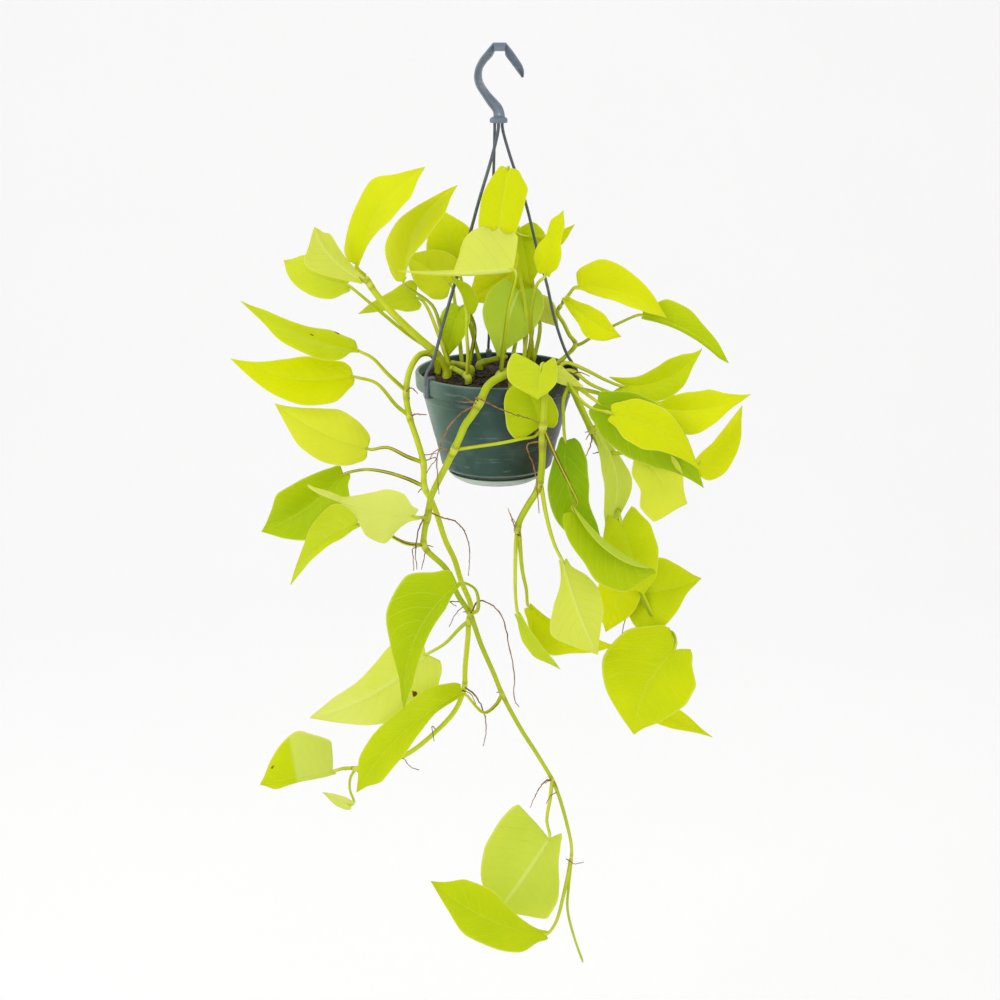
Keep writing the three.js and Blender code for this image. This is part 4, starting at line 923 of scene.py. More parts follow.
# %% The shoots, in millimetres
SHOOTS = [dict(
    name="vine_left", finish="lime",
    stem=dict(radius=2.9, end_radius=2.2, points=[[-55, 15, -290], [-60, 12, -278], [-70, 5, -276],
        [-79, -5, -287], [-83, -12, -307], [-80, -18, -329], [-73, -26, -349], [-67, -34, -369],
        [-66, -40, -390], [-60, -42, -402], [-56, -42, -412], [-47, -42, -441], [-39, -42, -459],
        [-33, -41, -480], [-24, -38, -506], [-26, -32, -522], [-27, -27, -540], [-30, -19, -575],
        [-31, -16, -595], [-40, -12, -620], [-60, -7, -645], [-89, 0, -671], [-121, 4, -684],
        [-141, 6, -688]]),
    leaves=[
        dict(name="L39", petiole=[[-83, -12, -307], [-99, -14, -291], [-114, -13, -275]],
             base=[-127, -12, -268], tip=[-230, -30, -219], roll=52, fold=6, arch=2, bend=-13, lobe=1,
             left=[3, 6, 22, 31, 28, 11], right=[12, 15, 17, 14, 10, 8]),
        dict(name="L40", petiole=[[-80, -18, -329], [-92, -18, -319], [-110, -17, -298]],
             base=[-131, -16, -292], tip=[-241, -30, -272], roll=16, fold=8, arch=4, bend=-12, lobe=0,
             left=[4, 12, 23, 25, 20, 10], right=[8, 16, 19, 22, 17, 8]),
        dict(name="L41", petiole=[[-67, -34, -369], [-82, -34, -363], [-100, -28, -356]],
             base=[-119, -24, -358], tip=[-202, -30, -314], roll=10, fold=8, arch=5, lobe=1, bend=-6,
             left=[8, 15, 22, 25, 22, 11], right=[9, 17, 23, 26, 20, 10]),
        dict(name="L42", petiole=[[-66, -40, -390], [-80, -40, -383], [-100, -34, -378],
             [-120, -31, -376]], base=[-141, -30, -381], tip=[-217, -36, -434], roll=12, fold_left=2,
             fold_right=52, arch=6, bend=-8, left=[5, 10, 28, 34, 28, 15], right=[8, 15, 23, 30, 32, 17]),
        dict(name="L46", petiole=[[-26, -32, -522], [-35, -30, -531], [-49, -30, -546]],
             base=[-67, -30, -557], tip=[-177, -36, -618], roll=172, fold_left=58, fold_right=4, arch=-4,
             lobe=6, bend=8, left=[14, 23, 42, 34, 23, 16], right=[14, 26, 37, 35, 28, 14]),
        dict(name="L48", petiole=[[-141, 6, -687], [-150, 7, -688]], base=[-160, 8, -691],
             tip=[-229, -6, -699], roll=10, fold_right=4, fold_left=20, arch=4, left=[3, 4, 5, 5, 6, 8],
             right=[28, 33, 38, 44, 37, 22]),
        dict(name="L49", petiole=[[-136, 6, -687], [-142, 6, -696], [-143, 5, -709]], petiole_radius=1.3,
             base=[-142, 4, -725], tip=[-169, -4, -708], width=14, roll=-20, fold=25, lobe=2),
    ],
    roots=[
        [[-84, -13, -308], [-78, -20, -302], [-72, -24, -306]],
        [[-79, -19, -328], [-71, -26, -325], [-64, -28, -325]],
        [[-30, -18, -594], [-20, -24, -601], [-12, -28, -617], [-10, -28, -635], [-13, -28, -650]],
    ],
), dict(
    name="vine_long", finish="green",
    stem=dict(radius=4, end_radius=1.1, points=[[14, -48, -289], [12, -58, -280], [2, -71, -280],
        [-8, -82, -285], [-14, -89, -296], [-21, -92, -308], [-28, -92, -318], [-33, -91, -330],
        [-38, -88, -342], [-45, -82, -358], [-54, -72, -378], [-60, -65, -394], [-63, -60, -413],
        [-66, -60, -427], [-66, -60, -441], [-46, -60, -463], [-36, -58, -488], [-25, -56, -507],
        [-15, -52, -538], [-2, -46, -572], [5, -42, -592], [22, -36, -628], [40, -31, -660],
        [53, -28, -685], [59, -26, -701], [67, -23, -731], [72, -20, -757], [72, -18, -775],
        [70, -16, -801], [69, -14, -827], [76, -12, -859], [85, -10, -887]]),
    leaves=[
        dict(name="L29", petiole=[[-38, -88, -342], [-17, -91, -338], [3, -91, -335], [23, -87, -332],
             [34, -82, -331]], petiole_radius=1.6, base=[40, -80, -321], tip=[24, -74, -276], roll=0,
             fold=4, lobe=6, wave=2, left=[21, 28, 30, 28, 26, 20], right=[9, 15, 18, 17, 12, 6]),
        dict(name="L43", petiole=[[-63, -60, -413], [-66, -68, -411]], base=[-75, -78, -407],
             tip=[-168, -96, -371], roll=10, twist=40, fold=6, arch=5, bend=-8, wave=3, drip=0.3,
             left=[3, 4, 11, 27, 26, 9], right=[6, 9, 20, 23, 19, 12]),
        dict(name="L44", petiole=[[-66, -60, -440], [-83, -66, -436], [-101, -70, -425]],
             base=[-127, -70, -417], tip=[-187, -84, -470], roll=50, fold=20, arch=6, bend=10,
             left=[4, 8, 18, 21, 19, 13], right=[12, 20, 28, 22, 11, 4]),
        dict(name="L45", petiole=[[-25, -56, -507], [-18, -63, -502], [-17, -70, -487], [-21, -77, -475]],
             base=[-36, -82, -470], tip=[-85, -92, -589], roll=20, fold=14, arch=8, bend=14,
             left=[3, 4, 10, 11, 12, 10], right=[12, 22, 39, 36, 20, 5]),
        dict(name="L47", petiole=[[5, -42, -592], [0, -47, -600], [-12, -54, -606]],
             base=[-34, -56, -586], tip=[-132, -64, -682], roll=34, fold=12, arch=6, bend=8,
             left=[3, 4, 5, 13, 21, 21], right=[8, 15, 21, 20, 21, 18]),
        dict(name="L50", petiole=[[53, -28, -685], [51, -26, -706], [48, -26, -728]],
             base=[50, -28, -747], tip=[0, -44, -816], roll=170, fold_left=0, fold_right=20, arch=-4,
             lobe=12, left=[44, 49, 51, 50, 44, 32], right=[8, 14, 24, 40, 50, 52]),
        dict(name="L51", petiole=[[72, -18, -771], [65, -30, -802], [57, -48, -824]],
             base=[46, -62, -830], tip=[-62, -84, -764], roll=15, fold=8, arch=6, bend=-10,
             left=[4, 8, 21, 24, 24, 12], right=[3, 4, 9, 18, 26, 22]),
    ],
    roots=[
        [[-62, -58, -408], [-54, -52, -414], [-45, -52, -417], [-37, -54, -419], [-31, -54, -426],
         [-26, -54, -439], [-25, -54, -454], [-26, -54, -471]],
        [[-24, -58, -507], [-16, -64, -492], [-3, -64, -497], [6, -62, -511], [11, -60, -534],
         [16, -56, -565], [17, -54, -594], [21, -54, -600]],
        [[53, -28, -685], [47, -36, -682], [41, -38, -688], [37, -38, -696], [32, -38, -709]],
        [[-15, -90, -299], [-18, -96, -292], [-6, -97, -298], [10, -97, -305], [20, -98, -309]],
        [[-15, -90, -299], [-29, -96, -305], [-40, -97, -315], [-47, -95, -328], [-53, -89, -350],
         [-53, -82, -368], [-52, -74, -387]],
        [[-65, -61, -410], [-71, -64, -424], [-74, -66, -440], [-73, -66, -461]],
    ],
), dict(
    name="vine_front", finish="green",
    stem=dict(radius=3.9, end_radius=2.8, points=[[44, -40, -287], [44, -53, -277], [43, -66, -276],
        [43, -80, -283], [42, -88, -296], [41, -90, -320], [40, -89, -361], [37, -87, -378],
        [27, -86, -396], [20, -87, -410], [18, -88, -421]]),
    leaves=[
        dict(name="L29_upper", petiole=[[43, -66, -276], [42, -78, -266]], base=[39, -94, -266],
             tip=[36, -100, -293], roll=0, fold=5, lobe=11, wave=2, left=[10, 13, 15, 15, 12, 7],
             right=[24, 28, 30, 29, 25, 13]),
        dict(name="L31", petiole=[[41, -90, -320], [52, -96, -345], [66, -98, -374], [72, -96, -389]],
             base=[69, -92, -398], tip=[144, -90, -456], roll=0, arch=4, fold_left=110, fold_right=2,
             bend=7, left=[6, 12, 20, 24, 22, 14], right=[8, 15, 21, 25, 32, 28]),
        dict(name="L36", petiole=[[40, -88, -375], [45, -90, -404], [52, -92, -429]],
             base=[60, -92, -447], tip=[92, -98, -532], roll=165, fold=5, arch=-4, bend=-4,
             left=[3, 4, 8, 21, 31, 17], right=[4, 7, 19, 26, 24, 13]),
        dict(name="L37", petiole=[[18, -88, -421], [17, -90, -446], [17, -91, -474]],
             base=[20, -90, -498], tip=[58, -96, -547], roll=55, fold=20, arch=4,
             left=[4, 7, 11, 10, 11, 8], right=[3, 4, 8, 11, 12, 6]),
        dict(name="L38", petiole=[[20, -87, -417], [23, -84, -455], [27, -80, -476]],
             base=[31, -76, -495], tip=[110, -66, -535], roll=10, fold=14, arch=5, bend=9,
             left=[3, 4, 5, 8, 10, 6], right=[4, 9, 18, 23, 13, 7]),
    ],
    roots=[
        [[40, -89, -334], [27, -94, -336], [32, -96, -352], [35, -96, -366], [38, -94, -399]],
        [[18, -88, -418], [14, -92, -406], [10, -92, -395]],
    ],
), dict(
    name="vine_right", finish="lime",
    stem=dict(radius=3.6, end_radius=2, points=[[50, -26, -289], [55, -42, -279], [64, -62, -284],
        [74, -66, -306], [86, -62, -332], [96, -52, -354], [103, -46, -380], [108, -44, -406],
        [115, -42, -435], [125, -40, -470], [138, -40, -501], [152, -40, -531], [160, -38, -559],
        [159, -36, -590], [152, -34, -613]]),
    leaves=[
        dict(name="L21", petiole=[[54, -38, -282], [62, -35, -275], [80, -36, -281], [98, -28, -292]],
             base=[118, -22, -299], tip=[186, -24, -264], roll=-18, fold_left=30, fold_right=4, arch=3,
             bend=12, lobe=17, wave=2, left=[7, 8, 9, 13, 14, 11], right=[12, 14, 17, 18, 15, 6]),
        dict(name="L22", petiole=[[58, -48, -280], [68, -50, -279], [84, -54, -290], [111, -50, -302]],
             base=[143, -46, -313], tip=[228, -56, -299], roll=-20, fold_left=30, fold_right=2, arch=4,
             bend=10, left=[4, 6, 13, 17, 17, 9], right=[4, 7, 17, 24, 16, 5]),
        dict(name="L23", petiole=[[60, -54, -282], [62, -72, -281], [70, -86, -292], [84, -96, -302]],
             base=[102, -100, -306], tip=[179, -106, -355], roll=-5, fold=6, arch=7, lobe=3, bend=-8,
             left=[7, 12, 19, 20, 15, 7], right=[6, 10, 19, 21, 14, 7]),
        dict(name="L24", petiole=[[66, -63, -286], [72, -70, -289]], base=[90, -78, -301],
             tip=[185, -88, -377], roll=15, fold=10, arch=-6, bend=-6, left=[9, 16, 25, 28, 24, 13],
             right=[10, 18, 27, 29, 23, 10]),
        dict(name="L27", petiole=[[68, -64, -290], [104, -42, -306], [140, -42, -335], [166, -52, -358]],
             base=[182, -60, -363], tip=[221, -54, -310], roll=30, fold=30, arch=-8, bend=12,
             left=[8, 12, 13, 12, 12, 9], right=[11, 19, 22, 18, 13, 5]),
        dict(name="L28", petiole=[[62, -60, -283], [57, -70, -277]], petiole_radius=1.2,
             base=[50, -74, -275], tip=[77, -80, -286], width=13, roll=10, fold=12, lobe=2),
        dict(name="L30", petiole=[[66, -63, -286], [60, -68, -300], [60, -67, -320]],
             base=[62, -62, -341], tip=[98, -66, -438], roll=12, fold=8, arch=6, bend=12,
             left=[8, 16, 21, 20, 14, 10], right=[4, 7, 12, 19, 21, 16]),
        dict(name="L25", petiole=[[86, -62, -332], [90, -65, -330]], base=[88, -64, -330],
             tip=[98, -58, -432], roll=140, fold=10, arch=-6, bend=16, left=[3, 4, 10, 14, 14, 11],
             right=[3, 4, 6, 13, 24, 13]),
        dict(name="L26", petiole=[[96, -52, -354], [112, -58, -353]], base=[133, -62, -353],
             tip=[172, -74, -396], roll=25, fold=14, arch=6, bend=2, left=[4, 7, 22, 27, 23, 11],
             right=[7, 12, 19, 20, 31, 32]),
        dict(name="L32", petiole=[[108, -44, -406], [111, -54, -410]], base=[114, -60, -420],
             tip=[136, -58, -487], roll=0, fold=6, arch=6, lobe=13, left=[14, 19, 25, 25, 21, 15],
             right=[10, 15, 22, 26, 24, 16]),
        dict(name="L32b", petiole=[[115, -42, -435], [121, -34, -458]], base=[119, -28, -483],
             tip=[102, -34, -533], width=42, roll=10, fold=10, arch=4),
        dict(name="L33", petiole=[[115, -42, -435], [124, -30, -463], [124, -24, -485]],
             base=[119, -24, -496], tip=[190, -34, -480], roll=5, fold=10, arch=6, bend=4,
             left=[4, 8, 24, 33, 31, 19], right=[8, 17, 34, 36, 25, 8]),
        dict(name="L34", petiole=[[152, -40, -531], [163, -46, -529], [166, -54, -535]],
             base=[164, -60, -542], tip=[128, -68, -622], roll=8, fold=6, arch=8, bend=8, lobe=12,
             left=[10, 21, 38, 40, 34, 22], right=[18, 31, 46, 49, 38, 18]),
        dict(name="L35", petiole=[[160, -38, -559], [147, -32, -590]], base=[140, -30, -609],
             tip=[205, -28, -641], roll=10, fold=14, arch=4, bend=-2, left=[3, 5, 9, 11, 8, 3],
             right=[4, 7, 11, 10, 7, 3]),
    ],
    roots=[
        [[86, -63, -331], [84, -71, -343], [80, -73, -352]],
        [[62, -64, -281], [74, -68, -276], [83, -70, -279]],
    ],
), dict(
    name="vine_upper_right", finish="lime",
    stem=dict(radius=2.1, end_radius=1.8, points=[[54, 20, -290], [63, 24, -283], [73, 24, -271],
        [67, 22, -261], [62, 18, -250], [56, 14, -238], [60, 12, -230]]),
    leaves=[
        dict(name="L18", petiole=[[60, 12, -230], [67, 14, -221]], petiole_radius=1.6,
             base=[75, 16, -215], tip=[155, -2, -240], roll=-35, fold=24, arch=10, bend=-2,
             left=[14, 22, 28, 25, 18, 10], right=[4, 6, 14, 20, 20, 14]),
        dict(name="L20", petiole=[[60, 12, -230], [61, 7, -226]], petiole_radius=1.5, base=[64, 1, -224],
             tip=[113, -20, -254], roll=0, fold=10, arch=5, bend=4, left=[3, 4, 7, 11, 12, 7],
             right=[3, 4, 6, 9, 15, 11]),
        dict(name="L19", petiole=[[73, 24, -272], [78, 22, -270], [90, 16, -261], [113, 12, -248]],
             petiole_radius=1.6, base=[134, 8, -240], tip=[213, 0, -283], roll=-10, fold_left=4,
             fold_right=-105, arch=4, lobe=1, bend=-7, left=[6, 11, 20, 19, 12, 7],
             right=[6, 10, 20, 24, 20, 9]),
    ],
    roots=[],
), dict(
    name="shoot_left", finish="lime",
    stem=dict(radius=4.6, end_radius=2.6, points=[[-46, -4, -288], [-55, -8, -273], [-72, -12, -256],
        [-95, -17, -232], [-110, -19, -213], [-119, -20, -198]]),
    leaves=[
        dict(name="L1", petiole=[[-119, -20, -198]], base=[-126, -19, -188], tip=[-63, -40, -97],
             roll=-40, fold=12, arch=10, bend=-7, petiole_radius=2.4, lobe=1,
             left=[12, 20, 21, 24, 26, 11], right=[4, 7, 10, 19, 26, 24]),
        dict(name="L3", petiole=[[-114, -20, -205], [-119, -22, -201]], base=[-121, -25, -201],
             tip=[-160, -58, -147], roll=165, fold_left=75, fold_right=0, arch=3, lobe=2, bend=8,
             left=[3, 5, 10, 17, 23, 11], right=[3, 5, 10, 17, 23, 10]),
        dict(name="L4", petiole=[[-58, -6, -270], [-80, -9, -255], [-111, -8, -229]],
             base=[-137, -2, -209], tip=[-194, 8, -189], roll=20, fold=10, arch=5, bend=-6,
             left=[6, 11, 19, 21, 18, 11], right=[4, 7, 12, 17, 19, 14]),
    ],
    roots=[],
), dict(
    name="shoot_front_left", finish="green",
    stem=dict(radius=3.2, end_radius=2.4, points=[[-26, -26, -291], [-34, -18, -287], [-43, -12, -284]]),
    leaves=[
        dict(name="L5", petiole=[[-43, -12, -284], [-54, -8, -252], [-64, 8, -232]], base=[-75, 24, -227],
             tip=[-128, 24, -242], roll=14, fold_left=8, fold_right=25, arch=3, left=[8, 13, 12, 7, 5, 3],
             right=[12, 17, 15, 11, 8, 5]),
        dict(name="L15", petiole=[[-27, -25, -290], [-26, -31, -268], [-27, -38, -246]],
             base=[-27, -44, -226], tip=[-42, -38, -194], width=36, roll=66, fold=24, arch=3),
    ],
    roots=[],
), dict(
    name="shoot_crown_left", finish="green",
    stem=dict(radius=3.4, end_radius=2.4, points=[[-24, 10, -291], [-32, 8, -287], [-44, 6, -284]]),
    leaves=[
        dict(name="L2", petiole=[[-44, 6, -284], [-51, 5, -253], [-59, 5, -230]], base=[-85, 6, -208],
             tip=[-35, -14, -117], roll=-48, fold=10, arch=14, lobe=4, bend=-6,
             left=[14, 23, 30, 26, 15, 6], right=[3, 4, 10, 23, 30, 26]),
        dict(name="L7", petiole=[[-32, 8, -287], [-36, 20, -250], [-39, 25, -229]], base=[-43, 28, -215],
             tip=[-85, 36, -189], width=46, roll=10, fold=10, arch=5),
        dict(name="L14", petiole=[[-26, 10, -290], [-20, 8, -253], [-25, 6, -237]], base=[-33, 4, -232],
             tip=[-46, 6, -280], width=30, roll=20, fold=12, arch=4, lobe=2),
    ],
    roots=[],
), dict(
    name="shoot_crown_back", finish="green",
    stem=dict(radius=3.4, end_radius=2.4, points=[[-16, 30, -291], [-4, 30, -287], [10, 32, -284]]),
    leaves=[
        dict(name="L6", petiole=[[-15, 30, -290], [-26, 36, -250], [-31, 42, -223]], base=[-36, 46, -201],
             tip=[-53, 60, -150], width=50, roll=0, fold=8, arch=6),
        dict(name="L16", petiole=[[6, 31, -286], [14, 38, -243], [20, 39, -211]], base=[22, 35, -200],
             tip=[-27, 33, -232], width=54, roll=0, fold=3, arch=1),
    ],
    roots=[],
), dict(
    name="shoot_crown_centre", finish="lime",
    stem=dict(radius=3.6, end_radius=2.4, points=[[2, -14, -291], [12, -12, -287], [24, -14, -284]]),
    leaves=[
        dict(name="L8", petiole=[[24, -14, -284], [27, -10, -250], [26, -2, -228], [19, 8, -192],
             [12, 6, -130]], base=[10, -14, -102], tip=[0, -36, -184], roll=-4, fold=4, arch=4, lobe=1,
             bend=2, left=[8, 14, 21, 20, 17, 12], right=[6, 10, 15, 19, 19, 14]),
        dict(name="L9", petiole=[[4, -14, -290], [7, -26, -255], [11, -38, -221]], base=[14, -47, -187],
             tip=[-88, -64, -185], roll=185, fold_left=4, fold_right=152, drip=0.49, lobe=10,
             left=[28, 35, 40, 42, 40, 31], right=[22, 34, 40, 41, 36, 20], bend=3),
        dict(name="L13", petiole=[[12, -12, -287], [19, 8, -255], [22, 12, -232]], base=[20, 8, -218],
             tip=[1, -15, -274], width=56, roll=190, fold=10, arch=-8, lobe=12),
    ],
    roots=[],
), dict(
    name="shoot_crown_right", finish="green",
    stem=dict(radius=3.2, end_radius=2.2, points=[[26, 16, -291], [32, 10, -287], [34, -4, -284]]),
    leaves=[
        dict(name="L10", petiole=[[27, 16, -290], [25, 22, -240], [24, 24, -194]], base=[21, 22, -162],
             tip=[31, 23, -216], width=44, roll=0, fold=6, arch=3),
        dict(name="L11", petiole=[[34, -4, -284], [31, -22, -240], [33, -29, -216], [37, -33, -202]],
             base=[44, -35, -193], tip=[59, -43, -135], roll=-25, fold=14, arch=3, bend=0, lobe=2,
             left=[6, 10, 14, 13, 8, 8], right=[4, 6, 12, 13, 8, 7]),
        dict(name="L12", petiole=[[28, 16, -290], [34, 24, -241], [31, 26, -199]], base=[24, 28, -168],
             tip=[71, 8, -156], width=40, roll=70, fold=20, arch=8),
        dict(name="L17", petiole=[[33, 4, -286], [40, 22, -252]], base=[38, 25, -231], tip=[57, 23, -254],
             width=22, roll=0, fold=10, lobe=4),
    ],
    roots=[],
)]

print(len(SHOOTS), "shoots with", sum(len(shoot["leaves"]) for shoot in SHOOTS), "leaves")

# %% [markdown]
# Leaves of one plant differ: young ones are yellower, shaded ones greener, and some are bleached pale.
# Chance could spread these looks, but a viewer knows this plant by which leaves are pale. So for each
# leaf there is a number from lime to green and one for how pale it is, judged one by one.

# %% How green and how pale each leaf is
# Some numbers also hold painted light: leaves deep in the crown, such as L2, L7, L10, L15 and L16, are set
# nearer lime so that they come out lighter, making up for the shade they lie in.
LEAF_LOOKS = {
    "L1": (0.12, 0), "L2": (0, 0), "L3": (0.05, 0), "L4": (0.28, 0.08), "L5": (0.2, 0.05),
    "L6": (0.15, 0), "L7": (0, 0.05), "L8": (0.18, 0), "L9": (0.05, 0), "L10": (0.3, 0),
    "L11": (0.05, 0), "L12": (0, 0), "L13": (0.7, 0), "L14": (0.5, 0), "L15": (0.4, 0),
    "L16": (0, 0), "L17": (0, 0.4), "L18": (0.07, 0), "L19": (0.48, 0), "L20": (0.1, 0),
    "L21": (0.35, 0), "L22": (0.1, 0), "L23": (0.16, 0), "L24": (0.75, 0), "L25": (0.3, 0),
    "L26": (0.12, 0.15), "L27": (0.08, 0), "L28": (0.15, 0.3), "L29": (0.42, 0), "L29_upper": (0.25, 0.05),
    "L30": (0.9, 0), "L31": (0.55, 0), "L32": (0.32, 0), "L32b": (0.05, 0), "L33": (0.3, 0),
    "L34": (0.32, 0), "L35": (0.15, 0), "L36": (0.03, 0), "L37": (0.4, 0.05), "L38": (0.05, 0),
    "L39": (0.33, 0), "L40": (0.06, 0), "L41": (0.03, 0.12), "L42": (0.6, 0), "L43": (0.1, 0.45),
    "L44": (0.27, 0.05), "L45": (0.56, 0), "L46": (0.12, 0.22), "L47": (0.36, 0), "L48": (0.36, 0.34),
    "L49": (0.16, 0.5), "L50": (0.32, 0), "L51": (0.4, 0),
}

# Two leaves are pale over a part of their length only: where it starts and ends, and its softness
PALE_PARTS = {"L46": (0.45, 1.2, 0.25), "L48": (-0.1, 0.52, 0.03)}

# Brown marks: how far along a blade, how far across, and their size in millimetres
LEAF_MARKS = {
    "L24": [(0.72, 0.23, 3.0)],
    "L39": [(0.16, 0.95, 2.5), (0.39, 0.2, 1.6)],
    "L46": [(0.24, 0.57, 1.8), (0.25, 0.68, 1.8)],
    "L48": [(0.79, 0.63, 1.6)],
}

# How strongly the dry edges of a petiole's sheath show, on the leaves where they stand out
COMMON_SHEATH = 0.7
DRY_SHEATHS = {
    "L9": 1.6, "L14": 1.5, "L31": 2.2, "L36": 1.4, "L41": 1.8, "L42": 2.0, "L44": 2.2, "L47": 1.4,
}
print(len(LEAF_LOOKS), "looks, of which", sum(pale > 0 for _, pale in LEAF_LOOKS.values()), "partly pale")

# %% [markdown]
# Beside the long aerial roots, hair-fine ones leave some joints. They are too thin for the frame's
# solids and could be left out, but without them the vines look young and bare. Each starts inside a
# stem or a longer root, so that none hangs loose.

# %% Fine roots
FINE_ROOT_RADIUS = 0.5
FINE_ROOTS = {
    "vine_left": [
        [[-69, -30, -362], [-62, -33, -361], [-55, -36, -359]],
        [[-66, -33, -367], [-55, -34, -364], [-62, -36, -374], [-69, -38, -386]],
        [[-33, -19, -597], [-25, -22, -599], [-20, -23, -609]],
        [[-58, -7, -642], [-62, -12, -636], [-60, -16, -650]],
        [[-94, 1, -673], [-89, -2, -675], [-83, -3, -682], [-75, -3, -685]],
    ],
    "vine_long": [
        [[18, -98, -307], [24, -99, -309], [30, -98, -311], [37, -96, -315]],
        [[-15, -90, -299], [-22, -97, -296], [-31, -98, -296], [-36, -96, -300]],
        [[-16, -91, -300], [-24, -98, -294], [-29, -98, -291]],
        [[-42, -86, -351], [-46, -84, -342], [-56, -80, -346], [-60, -74, -354]],
        [[-66, -60, -440], [-77, -62, -443], [-76, -63, -451], [-76, -64, -463]],
        [[-66, -60, -440], [-66, -62, -448], [-69, -63, -462]],
        [[-31, -57, -496], [-43, -60, -494], [-37, -62, -498]],
        [[-29, -57, -498], [-37, -60, -505], [-44, -62, -518]],
        [[58, -27, -697], [52, -30, -700], [47, -31, -708]],
        [[67, -22, -770], [75, -26, -773], [84, -27, -771]],
    ],
    "vine_front": [
        [[20, -86, -415], [17, -88, -410], [12, -88, -402]],
    ],
    "vine_right": [
        [[126, -36, -501], [120, -37, -520], [116, -38, -539]],
    ],
}
print(sum(len(roots) for roots in FINE_ROOTS.values()), "fine roots")

# %% [markdown]
# Each shoot gets three pieces: its stem with the petioles, its blades, and its roots where it has any.
# A piece for each blade and petiole would make over a hundred, and one for the whole plant couldn't
# stand for single shoots. Together the three stand for the shoot's plain solid in the frame.

# %% Grow every shoot
STEM_AGE = {"lime": 0.2, "green": 0.6}


def grow(shoot):
    name, stem, leaves = shoot["name"], shoot["stem"], shoot["leaves"]
    slot = "foliage_" + shoot["finish"]
    chance = random.Random(name)
    stems, blades, roots = Heap(), Heap(), Heap()
    add_stem(stems, stem, leaves, shoot["roots"], STEM_AGE[shoot["finish"]])
    for leaf in leaves:
        add_petiole(stems, leaf)
        add_blade(blades, leaf)
    for root in shoot["roots"]:
        add_root(roots, root, chance)
    for root in FINE_ROOTS.get(name, ()):
        add_root(roots, root, chance, FINE_ROOT_RADIUS)
    add_stubs(roots, stem, leaves, chance)
    parts = {"_stem": (stems, STEM_FINISH), "_blades": (blades, BLADE_FINISH[shoot["finish"]])}
    if roots.corners:
        parts["_roots"] = (roots, ROOT_FINISH)
    for ending, (heap, finish) in parts.items():
        place_piece(name + ending, heap.mesh(name + ending), finish, slot, [name])


for shoot in SHOOTS:
    grow(shoot)

# %% [markdown]
# The pot, saucer, flange and soil are round. They could be modelled by pushing cylinders about, but a
# profile turned round the axis keeps every radius as it was measured. Its corners are eased a little,
# because no moulded edge is sharp.

# %% Round shapes
AROUND = 128
SHARP_ANGLE = 35  # degrees from which an edge stays sharp


def turned_shape(profile, sides=AROUND):
    """A closed shape of revolution. Points of the profile on the axis become one corner each."""
    corners, rings = [], []
    for radius, height in profile:
        if radius < TINY:
            rings.append([len(corners)])
            corners.append((0, 0, height))
            continue
        rings.append(list(range(len(corners), len(corners) + sides)))
        turns = [2 * math.pi * k / sides for k in range(sides)]
        corners.extend((radius * math.cos(turn), radius * math.sin(turn), height) for turn in turns)
    faces = []
    for lower, upper in zip(rings, rings[1:] + rings[:1]):
        for k in range(sides):
            j = (k + 1) % sides
            face = [ring[at % len(ring)] for ring, at in ((lower, k), (lower, j), (upper, j), (upper, k))]
            face = [corner for i, corner in enumerate(face) if corner != face[i - 1]]
            if len(face) > 2:
                faces.append(face)
    return corners, faces


def eased(profile, sharp, steps=3):
    """Rounds each corner of a profile by cutting it back, by at most the length sharp."""
    made = []
    count = len(profile)
    for i, point in enumerate(profile):
        here = np.array(point, dtype=float)
        before = np.array(profile[i - 1], dtype=float)
        after = np.array(profile[(i + 1) % count], dtype=float)
        if here[0] < TINY:
            made.append(tuple(here))
            continue
        back = min(sharp, 0.45 * np.linalg.norm(before - here))
        on = min(sharp, 0.45 * np.linalg.norm(after - here))
        start = here + unit(before - here) * back
        end = here + unit(after - here) * on
        for t in np.linspace(0, 1, steps + 1):
            made.append(tuple((1 - t) ** 2 * start + 2 * t * (1 - t) * here + t ** 2 * end))
    return made


def sharp_edges(mesh):
    mesh.set_sharp_from_angle(angle=math.radians(SHARP_ANGLE))
    return mesh


def on_circle(radius, degrees, z):
    turn = math.radians(degrees)
    return np.array([radius * math.cos(turn), radius * math.sin(turn), z])


print("a cone of", AROUND, "sides has", len(turned_shape([(0, 0), (1, 0), (0, 1)])[1]), "faces")

# %% [markdown]
# Holes and rounded edges are made by Blender's own modifiers. They could stay on the pieces, but a
# finished mesh is simpler to export and to measure. So they work on a helper object, and only the mesh
# that they make is kept.

# %% Shapes that modifiers make
BEVEL_STEPS = 2
BEVEL_ANGLE = 40  # degrees from which an edge is rounded


def helper_object(mesh):
    body = bpy.data.objects.new("helper", mesh)
    bpy.context.collection.objects.link(body)
    return body


def with_modifiers(body):
    """The mesh that an object's modifiers make. The object goes."""
    name = body.data.name
    bpy.context.view_layer.update()
    made = bpy.data.meshes.new_from_object(body.evaluated_get(bpy.context.evaluated_depsgraph_get()))
    made.name = name
    bpy.data.objects.remove(body)
    return made


def cut_away(mesh, cutters):
    """The mesh without the room that the cutters take."""
    body = helper_object(mesh)
    cutter = helper_object(cutters.mesh("cutter"))
    cut = body.modifiers.new("holes", "BOOLEAN")
    cut.operation = "DIFFERENCE"
    cut.solver = "EXACT"
    cut.object = cutter
    made = with_modifiers(body)
    bpy.data.objects.remove(cutter)
    return made


def rounded(name, corners, faces, width):
    """A mesh whose edges are rounded with a bevel."""
    body = helper_object(make_mesh(name, corners, faces))
    work = bmesh.new()
    work.from_mesh(body.data)
    bmesh.ops.recalc_face_normals(work, faces=work.faces)
    work.to_mesh(body.data)
    work.free()
    bevel = body.modifiers.new("round", "BEVEL")
    bevel.width = width * MM
    bevel.segments = BEVEL_STEPS
    bevel.limit_method = "ANGLE"
    bevel.angle_limit = math.radians(BEVEL_ANGLE)
    made = sharp_edges(with_modifiers(body))
    print(name, len(made.polygons), "faces")
    return made

